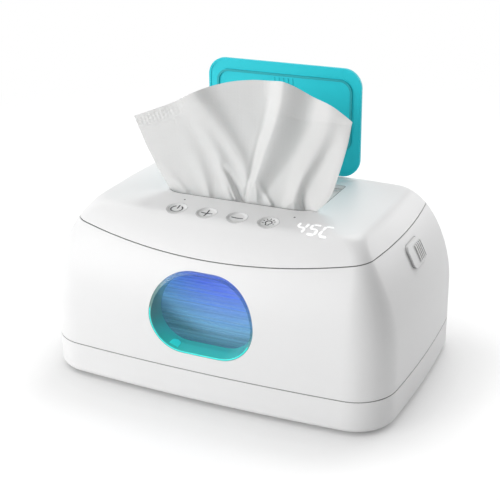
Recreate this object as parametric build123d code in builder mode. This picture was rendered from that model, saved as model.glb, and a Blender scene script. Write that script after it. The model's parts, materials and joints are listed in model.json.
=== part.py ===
"""Baby wipe warmer: a heated wipe box with a hinged lid, a flip cover and a viewing window.

Frame: +X to the right along the front, the front faces -Y, +Z up.
Origin: on the surface it stands on, under the middle of the body. Millimetres.
"""
import os
from math import asin, atan2, cos, degrees, hypot, radians, sin, sqrt, tan

from build123d import *

# ---------------------------------------------------------------- driving dimensions
# outer form
body_width = 250.0
body_depth = 170.4
corner_radius = 28.2          # upright corners, in plan
front_crown = 5.5             # bulge of the front and back
side_crown = 4.8              # bulge of the sides
wall = 2.4
straight_wall_top = 51.5      # above this the walls lean inwards
shoulder_radius = 99.0        # the long lean of the walls
shoulder_turn = 42.5          # degrees the wall has turned at the brow
brow_radius = 10.0            # soft edge between wall and top
top_slope = 8.5               # degrees the top falls at the brow
top_crown_radius = 230.0
tightest_corner = 11.5        # corner radius in plan near the top

# base tray and feet
foot_height = 2.0
foot_radius = 8.0
foot_recess = 1.0
foot_inset = 30.0
floor_thickness = 2.5
base_seam = 24.8              # height of the seam between tray and housing
base_edge_radius = 4.5
groove_height = 0.7           # shadow groove along that seam
groove_depth = 0.7
tongue_height = 3.0
tongue_thickness = 1.5
fit_clearance = 0.15          # between parts that are assembled once
base_screw_radius = 1.5
base_screw_head_radius = 2.8
boss_radius = 4.5
boss_height = 30.0
vent_length = 34.0
vent_width = 2.6
vent_pitch = 7.0

# lid seam
seam_height = 110.3           # at the corners
seam_front_dip = 11.4         # drop at the middle of the front
seam_back_dip = 2.4
seam_side_dip = 2.3
seam_gap = 0.6

# main hinge
hinge_turn = 31.0             # where the axis stands off the shoulder, degrees
knuckle_radius = 4.0
knuckle_clearance = 0.5
hinge_pin_radius = 1.5
running_clearance = 0.05
hinge_spacing = 104.0
lid_knuckle_width = 12.0
housing_knuckle_width = 8.0
knuckle_gap = 0.4
hinge_arm_thickness = 3.0

# viewing window
window_bottom = 37.0
window_top = 91.8
window_foot_half = 42.5       # half widths of the trapezoid before it is rounded
window_head_half = 31.5
window_foot_radius = 24.0
window_head_radius = 30.0
window_depth = 12.0           # from the front to the pane
window_rim = 1.2
window_draft = 2.3
window_pane = 2.0
window_flange = 1.4

# tank, wipes and heater
tank_side_room = 37.0         # from the body's sides to the tank
tank_front_room = 25.2        # from its front and back
tank_half_width = body_width / 2 - tank_side_room
tank_half_depth = body_depth / 2 - tank_front_room
tank_corner = 12.0
tank_wall = 1.8
tank_floor = 2.0
tank_top = 96.0
tank_flange = 2.0
deck_clearance = 0.5
heater_top = 28.0
heater_plate_thickness = 2.0
heater_film_thickness = 1.0
stack_height = 50.0
stack_clearance = 4.0

# lid insides
liner_thickness = 2.0
liner_side_margin = 3.0       # liner past the tank
liner_front_margin = 0.8
seal_margin = 0.4             # seal past the tank
seal_height = 3.0
seal_width = 4.0
seal_clearance = 0.3
lid_post_inset = 7.0
lid_post_y = 28.0
lid_post_radius = 3.5
screw_radius = 1.2
screw_head_radius = 2.8
screw_head_height = 1.5

# dispensing opening
opening_half_width = 55.5
opening_half_depth = 28.0
opening_front_radius = 14.0
opening_back_radius = 2.0
slot_half_width = 42.0
slot_half_depth = 5.0
slot_top = 106.0
funnel_wall = 1.8
funnel_flange = 5.0
funnel_flange_thickness = 1.6

# flip cover, standing open at rest
cover_width = 115.0
cover_length = 76.1
cover_thickness = 3.0
cover_corner = 13.0
cover_back_room = 40.2        # from the body's back to the axis
cover_axis_y = body_depth / 2 - cover_back_room
cover_axis_z = 120.5
cover_stand_off = 3.8         # axis to the cover's inner face
cover_heel = 2.6              # axis to the cover's near edge
cover_knuckle_radius = 3.0
cover_knuckle_width = 14.0
cover_knuckle_x = 28.0
cover_pin_radius = 1.25
cover_rim_width = 1.4
cover_rim_height = 0.5
cover_seal_half_width = 51.0
cover_seal_width = 1.5
cover_seal_height = 1.1
cover_seal_margin = 7.7
grip_count = 5
grip_pitch = 3.4
grip_length = 5.2
grip_width = 0.9

# controls
controls_front_room = 35.6    # from the body's front to the buttons
button_y = controls_front_room - body_depth / 2
button_pitch = 21.83
button_first_x = -32.6
button_radius = 7.0
button_gap = 0.15
button_travel = 0.6
button_dish_radius = 6.5
button_dish_depth = 0.75
button_ear_half = 8.6
board_depth = 9.0             # under the top, at the buttons
board_thickness = 1.6
board_left = -50.0
board_side_room = 38.0        # from the body's right side to the control board
board_right = body_width / 2 - board_side_room
switch_size = 6.0
switch_height = 4.0
indicator_radius = 0.6
indicator_places = ((-33.5, button_y + 12.6), (46.0, button_y + 11.3))
display_side_room = 46.0      # from the body's right side to the display
display_length = 30.0
display_right = body_width / 2 - display_side_room
display_left = display_right - display_length
display_half_height = 4.2

# side latches
latch_half_width = 12.0
latch_low = 89.0
latch_high = 103.0
latch_corner = 4.0
latch_proud = 2.4
latch_travel = 2.5
latch_gap = 0.3
cage_wall = 1.6
spring_thickness = 0.4

# inlet
inlet_x = -62.0
inlet_z = 38.0
inlet_radius = 5.5
inlet_bore = 2.8
inlet_pin = 1.0


# ---------------------------------------------------------------- the outer form
def crown_radius(half_chord, crown):
    """Radius of an arc that rises by `crown` over `half_chord`."""
    return (half_chord**2 + crown**2) / (2 * crown)


def profile_point(turn, depth=0.0):
    """Inset and height of the wall where it has turned `turn` degrees, `depth` under its surface."""
    arcs = (
        (shoulder_radius, 0.0, shoulder_turn),
        (brow_radius, shoulder_turn, 90 - top_slope),
        (top_crown_radius, 90 - top_slope, 90.0),
    )
    inset, height = 0.0, straight_wall_top
    for radius, start, end in arcs:
        stop = radians(min(max(turn, start), end))
        inset += radius * (cos(radians(start)) - cos(stop))
        height += radius * (sin(stop) - sin(radians(start)))
    return inset + depth * cos(radians(turn)), height - depth * sin(radians(turn))


def wall_inset(height, depth=0.0):
    """Inset of the leaning wall at a height, `depth` under its surface."""
    if height <= straight_wall_top:
        return depth
    turn = asin((height - straight_wall_top) / (shoulder_radius - depth))
    return shoulder_radius - (shoulder_radius - depth) * cos(turn)


def top_height(y):
    """Height of the crowned top at a distance y from the middle."""
    crown_inset, crown_height = profile_point(90)
    run = max(crown_inset - (body_depth / 2 - abs(y)), 0.0)
    return crown_height - (top_crown_radius - sqrt(top_crown_radius**2 - run**2))


def top_slope_at(y):
    """Slope of the crowned top in degrees at a distance y from the middle."""
    crown_inset = profile_point(90)[0]
    return degrees(asin((crown_inset - (body_depth / 2 - abs(y))) / top_crown_radius))


def plan_outline(inset, corner):
    """Draw the body's plan outline: four crowned sides joined by round corners."""
    front_r = crown_radius(body_width / 2, front_crown) - inset
    side_r = crown_radius(body_depth / 2, side_crown) - inset
    front_centre = (0.0, front_r - (body_depth / 2 - inset))
    side_centre = (body_width / 2 - inset - side_r, 0.0)
    reach_f, reach_s = front_r - corner, side_r - corner
    dx, dy = side_centre[0] - front_centre[0], side_centre[1] - front_centre[1]
    span = hypot(dx, dy)
    along = (reach_f**2 - reach_s**2 + span**2) / (2 * span)
    across = sqrt(reach_f**2 - along**2)
    foot = (front_centre[0] + along * dx / span, front_centre[1] + along * dy / span)
    corners = [(foot[0] + s * across * dy / span, foot[1] - s * across * dx / span) for s in (1, -1)]
    cx, cy = max(corners, key=lambda point: point[0] - point[1])
    front_end = degrees(atan2(cy - front_centre[1], cx - front_centre[0]))
    side_end = degrees(atan2(cy - side_centre[1], cx - side_centre[0]))
    sweep = side_end - front_end
    CenterArc(front_centre, front_r, -180 - front_end, 2 * (front_end + 90))
    CenterArc((cx, cy), corner, front_end, sweep)
    CenterArc(side_centre, side_r, side_end, -2 * side_end)
    CenterArc((cx, -cy), corner, -side_end, sweep)
    CenterArc((0.0, -front_centre[1]), front_r, -front_end, 2 * (front_end + 90))
    CenterArc((-cx, -cy), corner, 180 + front_end, sweep)
    CenterArc((-side_centre[0], 0.0), side_r, 180 + side_end, -2 * side_end)
    CenterArc((-cx, cy), corner, 180 - side_end, sweep)


def plan_section(height, inset, corner):
    """Face of the plan outline at a height."""
    with BuildSketch(Plane.XY.offset(height), mode=Mode.PRIVATE) as section:
        with BuildLine():
            plan_outline(inset, corner)
        make_face()
    return section.sketch


def body_form(depth, bottom):
    """The whole body as one solid, `depth` inside its outer surface."""
    brow_end = 90 - top_slope
    bands = ((0.0, shoulder_turn, 4), (shoulder_turn, brow_end, 4), (brow_end, 90.0, 2))
    with BuildPart(mode=Mode.PRIVATE) as form:
        extrude(plan_section(bottom, depth, corner_radius - depth), amount=straight_wall_top - bottom)
        for start, end, steps in bands:
            sections = []
            for step in range(steps + 1):
                turn = start + (end - start) * step / steps
                inset, height = profile_point(turn, depth)
                corner = max(corner_radius - profile_point(turn)[0], tightest_corner) - depth
                sections.append(plan_section(height, inset, corner))
            loft(sections)
    return form.part


def below_seam(shift):
    """Block under the lid seam, which dips at the front and runs nearly level at the back."""
    corner_x = body_width / 2 - wall_inset(seam_height)
    corner_y = body_depth / 2 - wall_inset(seam_height)
    half, reach_y = 0.6 * body_width, body_depth / 2 + 1
    mean_dip = (seam_front_dip + seam_back_dip) / 2
    lean = (seam_front_dip - seam_back_dip) / 2 * reach_y / corner_y
    lift = seam_side_dip * ((reach_y / corner_y) ** 2 - 1)
    with BuildPart(mode=Mode.PRIVATE) as block:
        for y, height, dip in (
            (-reach_y, seam_height + lift, mean_dip + lean),
            (0.0, seam_height - seam_side_dip, mean_dip),
            (reach_y, seam_height + lift, mean_dip - lean),
        ):
            radius = crown_radius(corner_x, dip)
            low = height - dip + shift
            high = low + radius - sqrt(radius**2 - half**2)
            with BuildSketch(Plane.XZ.offset(-y)):
                with BuildLine():
                    ThreePointArc((-half, high), (0, low), (half, high))
                    Polyline((half, high), (half, -10), (-half, -10), (-half, high))
                make_face()
        loft()
    return block.part


# ---------------------------------------------------------------- shared shapes and places
outer_form = body_form(0.0, base_seam)
inner_form = body_form(wall, base_seam - 1)
housing_block = below_seam(-seam_gap / 2)
lid_block = below_seam(seam_gap / 2)

# screw bosses stand in the corners, a little into the wall
boss_reach = corner_radius - wall - boss_radius + 1.2
boss_x = body_width / 2 - side_crown - corner_radius + boss_reach / sqrt(2) + 2.4
boss_y = body_depth / 2 - front_crown - corner_radius + boss_reach / sqrt(2) + 2.4
boss_places = GridLocations(2 * boss_x, 2 * boss_y, 2, 2).locations
foot_places = GridLocations(body_width - 2 * foot_inset, body_depth - 2 * foot_inset, 2, 2).locations

tray_top = foot_height + floor_thickness
pane_front = -body_depth / 2 + window_depth
pane_back = pane_front + window_pane
heater_bottom = heater_top - heater_plate_thickness
film_bottom = heater_bottom - heater_film_thickness
tank_inside = heater_top + tank_floor
seal_bottom = tank_top + seal_clearance
liner_bottom = seal_bottom + seal_height
liner_top = liner_bottom + liner_thickness

hinge_reach = shoulder_radius + knuckle_clearance + knuckle_radius
hinge_y = body_depth / 2 - shoulder_radius + hinge_reach * cos(radians(hinge_turn))
hinge_z = straight_wall_top + hinge_reach * sin(radians(hinge_turn))

button_tilt = radians(top_slope_at(button_y))
control_plane = Plane(
    origin=(0, button_y, top_height(button_y)),
    x_dir=(1, 0, 0),
    z_dir=(0, -sin(button_tilt), cos(button_tilt)),
)
button_places = [button_first_x + button_pitch * i for i in range(4)]

cover_inner_y = cover_axis_y + cover_stand_off
cover_outer_y = cover_inner_y + cover_thickness
cover_low = cover_axis_z + cover_heel
cover_high = cover_low + cover_length

white = (0.93, 0.93, 0.94)
teal = (0.1, 0.75, 0.8)
steel = (0.7, 0.7, 0.72)
green = (0.1, 0.4, 0.2)
dark = (0.15, 0.15, 0.16)
cream = (0.95, 0.93, 0.85)


def finish(name, piece, colour):
    """Label a finished piece, colour it and write it."""
    piece.label = name
    piece.color = Color(*colour)
    export_step(piece, f"parts/{name}.step")


def plan_ring(height, outer_inset, inner_inset):
    """Ring between two plan outlines of the straight part of the body."""
    ring = plan_section(height, outer_inset, corner_radius - outer_inset)
    return ring - plan_section(height, inner_inset, corner_radius - inner_inset)


def window_sketch(y, margin):
    """The window's outline, grown by a margin, upright at y."""
    with BuildSketch(Plane.XZ.offset(-y), mode=Mode.PRIVATE) as face:
        with BuildLine():
            Polyline(
                (-window_foot_half, window_bottom),
                (window_foot_half, window_bottom),
                (window_head_half, window_top),
                (-window_head_half, window_top),
                close=True,
            )
        make_face()
        fillet(face.vertices().group_by(Axis.Y)[0], window_foot_radius)
        fillet(face.vertices().group_by(Axis.Y)[-1], window_head_radius)
        if margin:
            offset(amount=margin, kind=Kind.ARC, mode=Mode.REPLACE)
    return face.sketch


def opening_sketch(z, margin):
    """The dispensing opening, grown by a margin, at height z."""
    with BuildSketch(Plane.XY.offset(z), mode=Mode.PRIVATE) as face:
        Rectangle(2 * (opening_half_width + margin), 2 * (opening_half_depth + margin))
        fillet(face.vertices().group_by(Axis.Y)[0], opening_front_radius + margin)
        fillet(face.vertices().group_by(Axis.Y)[-1], opening_back_radius + margin)
    return face.sketch


def slot_sketch(z, margin):
    """The narrow slot the wipes are drawn through, grown by a margin, at height z."""
    with BuildSketch(Plane.XY.offset(z), mode=Mode.PRIVATE) as face:
        Rectangle(2 * (slot_half_width + margin), 2 * (slot_half_depth + margin))
        fillet(face.vertices(), slot_half_depth - 2 + margin)
    return face.sketch


def rounded_plate(half_x, half_y, corner, low, high):
    """Upright block with round corners."""
    with BuildPart(mode=Mode.PRIVATE) as block:
        with BuildSketch(Plane.XY.offset(low)):
            RectangleRounded(2 * half_x, 2 * half_y, corner)
        extrude(amount=high - low)
    return block.part


os.makedirs("parts", exist_ok=True)

# ---------------------------------------------------------------- base tray, feet and base screws
vent_places = GridLocations(vent_length + 16, vent_pitch, 2, 5).locations
heater_post_places = GridLocations(2 * (tank_half_width - 24), 2 * (tank_half_depth - 20), 2, 2).locations
main_board_centre = (-18.0, 4.0)
main_board_size = (88.0, 58.0)
main_board_posts = [
    Location((main_board_centre[0] + sx * (main_board_size[0] / 2 - 5),
              main_board_centre[1] + sy * (main_board_size[1] / 2 - 5)))
    for sx in (-1, 1) for sy in (-1, 1)
]
main_board_bottom = tray_top + 6.0
main_board_top = main_board_bottom + board_thickness
base_screw_head_z = foot_height + 8.0

with BuildPart() as base_tray:
    extrude(plan_section(foot_height, 0, corner_radius), amount=base_seam - foot_height)
    fillet(base_tray.faces().sort_by(Axis.Z)[0].edges(), base_edge_radius)
    extrude(plan_section(tray_top, wall, corner_radius - wall), amount=base_seam, mode=Mode.SUBTRACT)
    # tongue that centres the housing
    tongue_inset = wall + fit_clearance
    extrude(plan_ring(base_seam - tongue_height, wall - 0.3, tongue_inset + tongue_thickness), amount=tongue_height)
    extrude(plan_ring(base_seam, tongue_inset, tongue_inset + tongue_thickness), amount=tongue_height)
    # shadow groove
    extrude(plan_ring(base_seam - groove_height / 2, -1, groove_depth), amount=groove_height / 2, mode=Mode.SUBTRACT)
    with BuildSketch(Plane.XY.offset(base_seam)):
        with Locations(boss_places):
            Circle(boss_radius + fit_clearance)
    extrude(amount=tongue_height, mode=Mode.SUBTRACT)
    # columns for the base screws, posts for the heater plate and the board
    with BuildSketch(Plane.XY.offset(foot_height + 2)):
        with Locations(boss_places):
            Circle(boss_radius)
    extrude(amount=base_seam - foot_height - 2)
    with BuildSketch(Plane.XY.offset(foot_height + 1)):
        with Locations(heater_post_places):
            Circle(4.5)
    extrude(amount=heater_bottom - foot_height - 1)
    with BuildSketch(Plane.XY.offset(foot_height + 1)):
        with Locations(main_board_posts):
            Circle(3)
    extrude(amount=main_board_bottom - foot_height - 1)
    with BuildSketch(Plane.XY.offset(main_board_bottom)):
        with Locations(main_board_posts):
            Circle(screw_radius)
    extrude(amount=-5, mode=Mode.SUBTRACT)
    # screw holes with deep head recesses, foot recesses and vents, from below
    with BuildSketch(Plane.XY):
        with Locations(boss_places):
            Circle(base_screw_radius + 0.2)
    extrude(amount=base_seam + tongue_height, mode=Mode.SUBTRACT)
    with BuildSketch(Plane.XY):
        with Locations(boss_places):
            Circle(base_screw_head_radius + 0.4)
    extrude(amount=base_screw_head_z, mode=Mode.SUBTRACT)
    with BuildSketch(Plane.XY):
        with Locations(foot_places):
            Circle(foot_radius)
    extrude(amount=foot_height + foot_recess, mode=Mode.SUBTRACT)
    with BuildSketch(Plane.XY):
        with Locations(vent_places):
            SlotOverall(vent_length, vent_width)
    extrude(amount=tray_top + 0.5, mode=Mode.SUBTRACT)
finish("base_tray", base_tray.part, white)

with BuildPart() as rubber_feet:
    with BuildSketch():
        with Locations(foot_places):
            Circle(foot_radius)
    extrude(amount=foot_height + foot_recess)
    fillet(rubber_feet.edges().group_by(Axis.Z)[0], 0.6)
finish("rubber_feet", rubber_feet.part, dark)

with BuildPart() as base_screws:
    with BuildSketch(Plane.XY.offset(base_screw_head_z)):
        with Locations(boss_places):
            Circle(base_screw_radius)
    extrude(amount=base_seam - base_screw_head_z + 14)
    with BuildSketch(Plane.XY.offset(base_screw_head_z)):
        with Locations(boss_places):
            Circle(base_screw_head_radius)
    extrude(amount=-2.2)
    with BuildSketch(Plane.XY.offset(base_screw_head_z - 2.2)):
        with Locations(boss_places):
            Rectangle(3.4, 0.7)
            Rectangle(0.7, 3.4)
    extrude(amount=1.2, mode=Mode.SUBTRACT)
finish("base_screws", base_screws.part, steel)

# ---------------------------------------------------------------- housing
knuckle_centres = [side * hinge_spacing / 2 for side in (-1, 1)]
lid_half = lid_knuckle_width / 2
housing_spans = [
    (centre + side * (lid_half + knuckle_gap), centre + side * (lid_half + knuckle_gap + housing_knuckle_width))
    for centre in knuckle_centres for side in (-1, 1)
]
web_reach = knuckle_radius + knuckle_clearance + 1.6


def across(low, high):
    """Plane facing +X at the lower end of a span, and the span's length."""
    return Plane.YZ.offset(min(low, high)), abs(high - low)


def latch_face(x, margin):
    """Outline of a side latch, grown by a margin, upright at x."""
    with BuildSketch(Plane.YZ.offset(x), mode=Mode.PRIVATE) as face:
        with Locations((0, (latch_low + latch_high) / 2)):
            RectangleRounded(
                2 * (latch_half_width + margin), latch_high - latch_low + 2 * margin, latch_corner + margin
            )
    return face.sketch


cage_front = tank_half_width + tank_flange + 3.5
cage_half = latch_half_width + 2.0
cage_low = latch_low - 1.6
cage_high = latch_high + 1.2
latch_wall_x = body_width / 2 - wall_inset(latch_high)


def beside(side, near, far, half, low, high, form):
    """Block on one side of the body, from `near` to `far` out from the middle, trimmed to a form."""
    with BuildPart(mode=Mode.PRIVATE) as block:
        with BuildSketch(Plane.XY.offset(low)):
            with Locations((side * (near + far) / 2, 0)):
                Rectangle(far - near, 2 * half)
        extrude(amount=high - low)
        add(form, mode=Mode.INTERSECT)
    return block.part


with BuildPart() as main_housing:
    add(outer_form)
    add(inner_form, mode=Mode.SUBTRACT)
    # bosses for the base screws
    with BuildSketch(Plane.XY.offset(base_seam)):
        with Locations(boss_places):
            Circle(boss_radius)
    extrude(amount=boss_height)
    with BuildSketch(Plane.XY.offset(base_seam)):
        with Locations(boss_places):
            Circle(base_screw_radius)
    extrude(amount=boss_height - 6, mode=Mode.SUBTRACT)
    # open cages behind the side latches
    for side in (-1, 1):
        far = body_width / 2
        add(beside(side, cage_front - cage_wall, far, cage_half + cage_wall, cage_low - cage_wall,
                   cage_high, outer_form))
        add(beside(side, cage_front, far, cage_half, cage_low, cage_high + 1, inner_form),
            mode=Mode.SUBTRACT)
    add(housing_block, mode=Mode.INTERSECT)
    # hinge knuckles and the webs that carry them
    for low, high in housing_spans:
        plane, length = across(low, high)
        with BuildSketch(plane):
            with Locations((hinge_y, hinge_z)):
                Circle(knuckle_radius)
                with Locations(Location((0, 0), hinge_turn)):
                    with Locations((-web_reach / 2, 0)):
                        Rectangle(web_reach, 5)
        extrude(amount=length)
    with BuildSketch(Plane.YZ.offset(-body_width / 2)):
        with Locations((hinge_y, hinge_z)):
            Circle(hinge_pin_radius)
    extrude(amount=body_width, mode=Mode.SUBTRACT)
    # shadow groove over the base tray
    extrude(plan_ring(base_seam, -1, groove_depth), amount=groove_height / 2, mode=Mode.SUBTRACT)
    # window, latch and inlet openings
    window_cut = window_sketch(-body_depth / 2 - 1, fit_clearance)
    extrude(window_cut, amount=window_depth + 1, dir=(0, 1, 0), mode=Mode.SUBTRACT)
    for side in (-1, 1):
        latch_cut = latch_face(side * (latch_wall_x - 6), latch_gap)
        extrude(latch_cut, amount=20, dir=(side, 0, 0), mode=Mode.SUBTRACT)
    with BuildSketch(Plane.XZ.offset(-body_depth / 2 - 1)):
        with Locations((inlet_x, inlet_z)):
            Circle(inlet_radius + fit_clearance)
    extrude(amount=wall + 6, mode=Mode.SUBTRACT)
finish("main_housing", main_housing.part, white)

# ---------------------------------------------------------------- window, tank, wipes
with BuildPart() as window_cup:
    plug_face = window_sketch(-body_depth / 2 - 1, 0)
    extrude(plug_face, amount=window_depth + 1 + window_pane, dir=(0, 1, 0))
    add(outer_form, mode=Mode.INTERSECT)
    mouth = window_sketch(-body_depth / 2 - 1, -window_rim)
    back = window_sketch(pane_front, -window_rim - window_draft)
    loft([mouth, back], mode=Mode.SUBTRACT)
    extrude(window_sketch(pane_front, window_flange), amount=window_pane, dir=(0, 1, 0))
finish("window_cup", window_cup.part, teal)

deck_inset = wall_inset(tank_top, wall) + deck_clearance
notch_half = cage_half + cage_wall + deck_clearance
with BuildPart() as inner_tank:
    add(rounded_plate(tank_half_width, tank_half_depth, tank_corner, heater_top, tank_top))
    deck_bottom = tank_top - tank_flange
    extrude(plan_section(deck_bottom, deck_inset, tightest_corner + 3), amount=tank_flange)
    with BuildSketch(Plane.XY.offset(deck_bottom)):
        for side in (-1, 1):
            with Locations((side * (cage_front - cage_wall - deck_clearance + body_width / 2), 0)):
                Rectangle(body_width, 2 * notch_half)
    extrude(amount=tank_flange, mode=Mode.SUBTRACT)
    add(
        rounded_plate(tank_half_width - tank_wall, tank_half_depth - tank_wall, tank_corner - tank_wall,
                      tank_inside, tank_top),
        mode=Mode.SUBTRACT,
    )
finish("inner_tank", inner_tank.part, teal)

with BuildPart() as wipe_stack:
    stack_half_x = tank_half_width - tank_wall - stack_clearance
    stack_half_y = tank_half_depth - tank_wall - stack_clearance
    add(rounded_plate(stack_half_x, stack_half_y, 8, tank_inside, tank_inside + stack_height))
finish("wipe_stack", wipe_stack.part, white)

# ---------------------------------------------------------------- heater, under the tank
with BuildPart() as heater_plate:
    add(rounded_plate(tank_half_width - 6, tank_half_depth - 6, 8, heater_bottom, heater_top))
finish("heater_plate", heater_plate.part, steel)

film_half_x = tank_half_width - 32
film_half_y = tank_half_depth - 10
with BuildPart() as heating_film:
    add(rounded_plate(film_half_x, film_half_y, 4, film_bottom, heater_bottom))
finish("heating_film", heating_film.part, (0.8, 0.35, 0.15))

with BuildPart() as thermistor:
    with BuildSketch(Plane.XY.offset(film_bottom)):
        with Locations((34, 6)):
            RectangleRounded(8, 4, 1.5)
    extrude(amount=-2.4)
finish("thermistor", thermistor.part, dark)

fuse_radius = 2.0
with BuildPart() as thermal_fuse:
    with BuildSketch(Plane.YZ.offset(-16)):
        with Locations((17, film_bottom - fuse_radius)):
            Circle(fuse_radius)
    extrude(amount=12)
    fillet(thermal_fuse.edges().filter_by(GeomType.CIRCLE), 0.5)
finish("thermal_fuse", thermal_fuse.part, white)

# ---------------------------------------------------------------- main board, inlet, night light, wires
board_x, board_y = main_board_centre
with BuildPart() as main_board:
    with BuildSketch(Plane.XY.offset(main_board_bottom)):
        with Locations(main_board_centre):
            RectangleRounded(*main_board_size, 2)
        with Locations(main_board_posts):
            Circle(screw_radius + 0.1, mode=Mode.SUBTRACT)
    extrude(amount=board_thickness)
finish("main_board", main_board.part, green)

with BuildPart() as board_screws:
    with BuildSketch(Plane.XY.offset(main_board_top)):
        with Locations(main_board_posts):
            Circle(screw_head_radius)
    extrude(amount=screw_head_height)
    with BuildSketch(Plane.XY.offset(main_board_top)):
        with Locations(main_board_posts):
            Circle(screw_radius)
    extrude(amount=-board_thickness - 4.5)
finish("board_screws", board_screws.part, steel)

plug_top = main_board_top + 6.0
with BuildPart() as board_components:
    for x, y, radius, height in ((-30, -16, 5.0, 10.0), (-30, -4, 4.0, 9.0)):
        with BuildSketch(Plane.XY.offset(main_board_top)):
            with Locations((board_x + x, board_y + y)):
                Circle(radius)
        extrude(amount=height)
    for x, y, length, width, height in (
        (-6, -16, 18, 12, 8.0),
        (4, 4, 10, 10, 1.8),
        (32, -19, 10, 6, plug_top - main_board_top),
        (-30, 14, 12, 8, 5.0),
        (16, 16, 8, 4, 2.0),
    ):
        with BuildSketch(Plane.XY.offset(main_board_top)):
            with Locations((board_x + x, board_y + y)):
                Rectangle(length, width)
        extrude(amount=height)
finish("board_components", board_components.part, dark)

inlet_face_y = body_depth / 2 - inlet_x**2 / (2 * crown_radius(body_width / 2, front_crown)) - 0.4
inlet_body = 12.0
inlet_back_y = tank_half_depth + 3.0
with BuildPart() as power_inlet:
    with BuildSketch(Plane.XZ.offset(-inlet_face_y)):
        with Locations((inlet_x, inlet_z)):
            Circle(inlet_radius)
    extrude(amount=inlet_face_y - inlet_back_y)
    with BuildSketch(Plane.XZ.offset(-inlet_back_y - 11)):
        with Locations((inlet_x, inlet_z)):
            RectangleRounded(inlet_body + 2, inlet_body, 1)
    extrude(amount=11)
    with BuildSketch(Plane.XZ.offset(-inlet_face_y)):
        with Locations((inlet_x, inlet_z)):
            Circle(inlet_bore)
    extrude(amount=11, mode=Mode.SUBTRACT)
    with BuildSketch(Plane.XZ.offset(-inlet_face_y + 2)):
        with Locations((inlet_x, inlet_z)):
            Circle(inlet_pin)
    extrude(amount=10)
finish("power_inlet", power_inlet.part, dark)

light_board_half = 50.0
light_board_thickness = 1.2
with BuildPart() as night_light_board:
    with BuildSketch(Plane.XY.offset(deck_bottom - light_board_thickness)):
        with Locations((0, (pane_back - tank_half_depth) / 2)):
            Rectangle(2 * light_board_half, -pane_back - tank_half_depth - 2.4)
    extrude(amount=light_board_thickness)
finish("night_light_board", night_light_board.part, green)

lamp_bottom = deck_bottom - light_board_thickness - 1.4
with BuildPart() as night_light_lamps:
    with BuildSketch(Plane.XY.offset(lamp_bottom)):
        with Locations([(x, (pane_back - tank_half_depth) / 2) for x in (-18, 0, 18)]):
            RectangleRounded(4, 3, 0.6)
    extrude(amount=1.4)
finish("night_light_lamps", night_light_lamps.part, cream)


def wire(points, radius):
    """Insulated wire along straight runs with round bends."""
    with BuildPart(mode=Mode.PRIVATE) as run:
        with BuildLine():
            path = FilletPolyline(*points, radius=3) if len(points) > 2 else Line(*points)
        with BuildSketch(Plane(origin=path @ 0, z_dir=path % 0)):
            Circle(radius)
        sweep(path=path)
    return run.part


connector_x, connector_y = board_x + 32, board_y - 19
wire_y = (pane_back - tank_half_depth) / 2
light_wire_x = light_board_half - 4
wires = [
    wire(((connector_x + 4 * k, connector_y, plug_top), (connector_x + 4 * k, connector_y, film_bottom)), 0.7)
    for k in (-0.5, 0.5)
]
wires += [
    wire(
        (
            (inlet_x + k, inlet_back_y + 6, inlet_z - inlet_body / 2),
            (inlet_x + k, inlet_back_y + 6, main_board_top + 4),
            (inlet_x + k + 12, board_y + 20, main_board_top + 4),
            (inlet_x + k + 12, board_y + 20, main_board_top),
        ),
        0.8,
    )
    for k in (-2, 2)
]
wires.append(
    wire(
        (
            (board_x + 40, board_y - 8, main_board_top),
            (board_x + 40, board_y - 8, main_board_top + 6),
            (light_wire_x, wire_y, main_board_top + 6),
            (light_wire_x, wire_y, deck_bottom - light_board_thickness),
        ),
        0.8,
    )
)
with BuildPart() as lead_wires:
    for run in wires:
        add(run)
finish("lead_wires", lead_wires.part, (0.8, 0.15, 0.1))

# ---------------------------------------------------------------- main hinge pins
with BuildPart() as main_hinge_pins:
    pin_half = lid_half + knuckle_gap + housing_knuckle_width
    for centre in knuckle_centres:
        with BuildSketch(Plane.YZ.offset(centre - pin_half)):
            with Locations((hinge_y, hinge_z)):
                Circle(hinge_pin_radius)
        extrude(amount=2 * pin_half)
finish("main_hinge_pins", main_hinge_pins.part, steel)

# ---------------------------------------------------------------- lid
lid_posts = [(sx * (tank_half_width - lid_post_inset), sy * lid_post_y) for sx in (-1, 1) for sy in (-1, 1)]
board_posts_x = (board_left + 5, board_right - 5)
block_half = cover_knuckle_x + cover_knuckle_width / 2 + 5
pocket_back = cover_outer_y + 0.9
pocket_front = cover_axis_y - cover_knuckle_radius - 0.4
pocket_floor = cover_axis_z - cover_knuckle_radius - 0.4
keeper_low = latch_high + 2.3
arm_turn = degrees(asin((seam_height - straight_wall_top) / shoulder_radius)) + 3.0


def in_form(form, low, high):
    """Plain block between two corners, trimmed to a form."""
    with BuildPart(mode=Mode.PRIVATE) as block:
        with BuildSketch(Plane.XY.offset(low[2])):
            with Locations(((low[0] + high[0]) / 2, (low[1] + high[1]) / 2)):
                Rectangle(high[0] - low[0], high[1] - low[1])
        extrude(amount=high[2] - low[2])
        add(form, mode=Mode.INTERSECT)
    return block.part


def posts_in_form(form, plane, places, radius, length):
    """Round posts from a plane, trimmed to a form."""
    with BuildPart(mode=Mode.PRIVATE) as posts:
        with BuildSketch(plane):
            with Locations(places):
                Circle(radius)
        extrude(amount=length)
        add(form, mode=Mode.INTERSECT)
    return posts.part


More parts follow.
